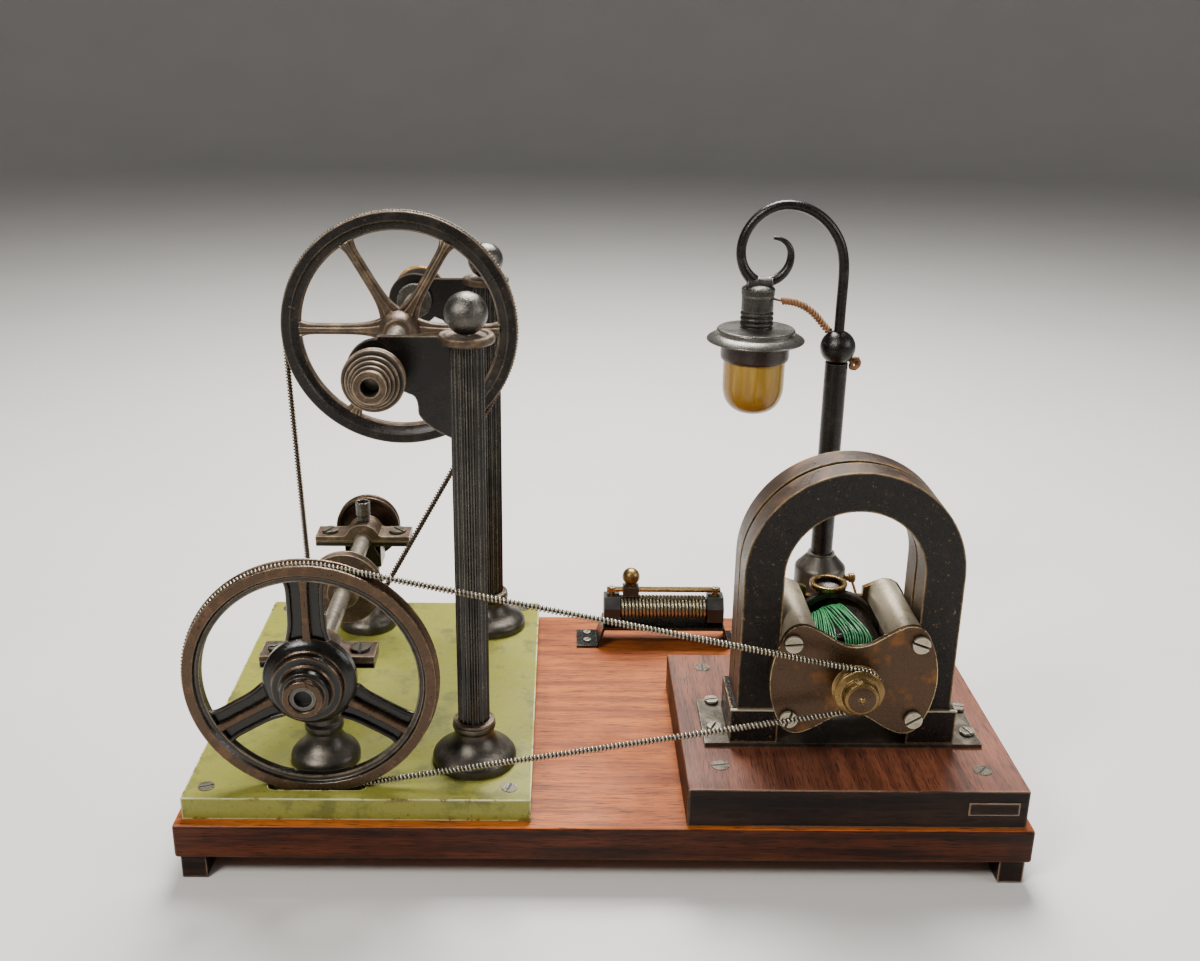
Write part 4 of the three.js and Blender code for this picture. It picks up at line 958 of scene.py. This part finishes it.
lead = [(x, LAMP_Y, z) for x, z in ((82.6, 203.4), (88, 203.6), (97, 201.5), (99.6, 194.5), (105, 189.4))]
lead_length, lead_path = follow(lead)
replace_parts(wire("lead_core", [lead_path(lead_length * i / 12)[0] for i in range(13)], 0.85, dark_collar),
    "lamp_wire")
coiled("lead_wrapping", lead_path, lead_length, 1.1, 0.78, 1.65, cloth_braid, sides=2)
wire("lead_end", [(LAMP_HEAD_X + 6.6, LAMP_Y, 204.6), (80.4, LAMP_Y, 203.9), (83, LAMP_Y, 203.4)], 0.55,
    cloth_braid)
knot = [(115.6, 175), (117.8, 177.4), (120.2, 176), (119.8, 172.4), (116.8, 171.4), (115.4, 173.6),
    (117.2, 175.6), (119.4, 174.2), (118.4, 171.6), (116, 172.6), (116.8, 176.4), (119.6, 177)]
wire("wire_knot", [(x, LAMP_Y + 1.4 * math.sin(2.2 * i), z) for i, (x, z) in enumerate(knot)], 0.95,
    cloth_braid)
turned("binding_post", [(0, 0), (1.6, 0), (1.6, 1.6), (2.3, 2.2), (2.3, 4.6), (1.4, 5.2), (0, 5.2)],
    old_brass, (LAMP_X + 12, LAMP_Y - 2, 67), "X", sides=32)
wire("binding_wire", [(LAMP_X + 15.4, LAMP_Y - 2, 66), (LAMP_X + 17, LAMP_Y - 3, 62),
    (LAMP_X + 18.6, LAMP_Y - 2, 57)], 0.7, cloth_braid)

# ---- the slide rheostat ---------------------------------------------------------------------
FORMER_Z = BOARD_TOP + 18.5
repaint("rheostat_strap", gunmetal, 0.35)
repaint("rheostat_former", dark_fibre, 0.5)
repaint("rheostat_bar", bright_brass, 0.2)
repaint("rheostat_slider", dark_fibre, 0.4)

WOUND = 21.4


def winding_path(along):
    return Vector((RHEOSTAT_X - WOUND + along, RHEOSTAT_Y, FORMER_Z)), Vector((0, 1, 0)), Vector((0, 0, 1))


winding = coiled("resistance_coil", winding_path, 2 * WOUND, 6.15, 0.68, 2 * WOUND / 24, resistance_wire,
    sides=3)
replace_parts(winding, "rheostat_winding")
knob = turned("knob", [(0, 0), (3, 0), (3, 0.5), (1.8, 0.9), (1.7, 1.3), (2, 1.5)]
    + [(r, z + 5.1) for r, z in arc(0, 0, 4.4, -60, 90, 20)], old_brass,
    (RHEOSTAT_X - 16.5, RHEOSTAT_Y, BOARD_TOP + 30.35), "Z", "wiper", 48, rounded=0)
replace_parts(knob, "slider_knob")
for i, x in enumerate((-3.6, 72)):
    for k, y in enumerate((64.5, 73)):
        slotted_screw(f"strap_screw_{i}_{k}", (x, y, BOARD_TOP + 1.25), 1.9, shaft_steel, height=0.7,
            slot=0.6, angle=40 + 60 * i + 30 * k)
for i, x in enumerate((-26, 26)):
    slotted_screw(f"bar_screw_{i}", (RHEOSTAT_X + x, RHEOSTAT_Y, BOARD_TOP + 28.95), 1.7, shaft_steel,
        height=0.8, slot=0.5, angle=20 + 60 * i)

# ---- floor and light ------------------------------------------------------------------------
floor_material, floor_tree, floor_shader = new_material("floor")
cloud = noise(floor_tree, place_of(floor_tree), 6, 3, 0.5)
floor_colour = mix(floor_tree, cloud, rgb("bdbab5"), rgb("c6c3be"))
fill(floor_tree, floor_shader, Base_Color=floor_colour, Roughness=0.6)
# The floor's sizes and the lights' places are in metres.
FLAT, WALL, ROUND, BELOW = 2.4, 2.6, 1.2, 0.0005
AIM = (0, 0, 0.1)
profile = ([(0, 0), (FLAT, 0)] + [(FLAT + ROUND * math.sin(a), ROUND - ROUND * math.cos(a))
    for a in [math.pi / 2 * i / 16 for i in range(1, 17)]] + [(FLAT + ROUND, WALL)])
rings = 64
floor_mesh = bpy.data.meshes.new("floor")
floor_mesh.from_pydata([(r * math.cos(TURN * k / rings), r * math.sin(TURN * k / rings), z - BELOW) for r,
    z in profile for k in range(rings)], [], [(i * rings + k, i * rings + (k + 1) % rings, (i + 1) * rings
    + (k + 1) % rings, (i + 1) * rings + k) for i in range(len(profile) - 1) for k in range(rings)])
floor_mesh.materials.append(floor_material)
floor_mesh.shade_smooth()
floor = bpy.data.objects.new("floor", floor_mesh)
bpy.context.collection.objects.link(floor)


def area_light(name, at, size, energy, colour):
    data = bpy.data.lights.new(name, "AREA")
    data.shape = "DISK"
    data.size = size
    data.energy = energy
    data.color = colour
    light = bpy.data.objects.new(name, data)
    light.location = at
    light.rotation_euler = (Vector(at) - Vector(AIM)).to_track_quat("Z", "Y").to_euler()
    bpy.context.collection.objects.link(light)


area_light("key", (-0.6, -0.7, 0.9), 0.35, 15, colour=(1, 0.98, 0.95))
area_light("top", (0.05, 0.5, 1.0), 0.6, 40, colour=(1, 0.99, 0.97))
area_light("fill", (0.95, -0.35, 0.55), 0.5, 5, colour=(0.96, 0.98, 1))

world = bpy.data.worlds.new("studio")
bpy.context.scene.world = world
world.use_nodes = True
world.node_tree.nodes["Background"].inputs["Color"].default_value = (0.8, 0.82, 0.85, 1)
world.node_tree.nodes["Background"].inputs["Strength"].default_value = 0.24
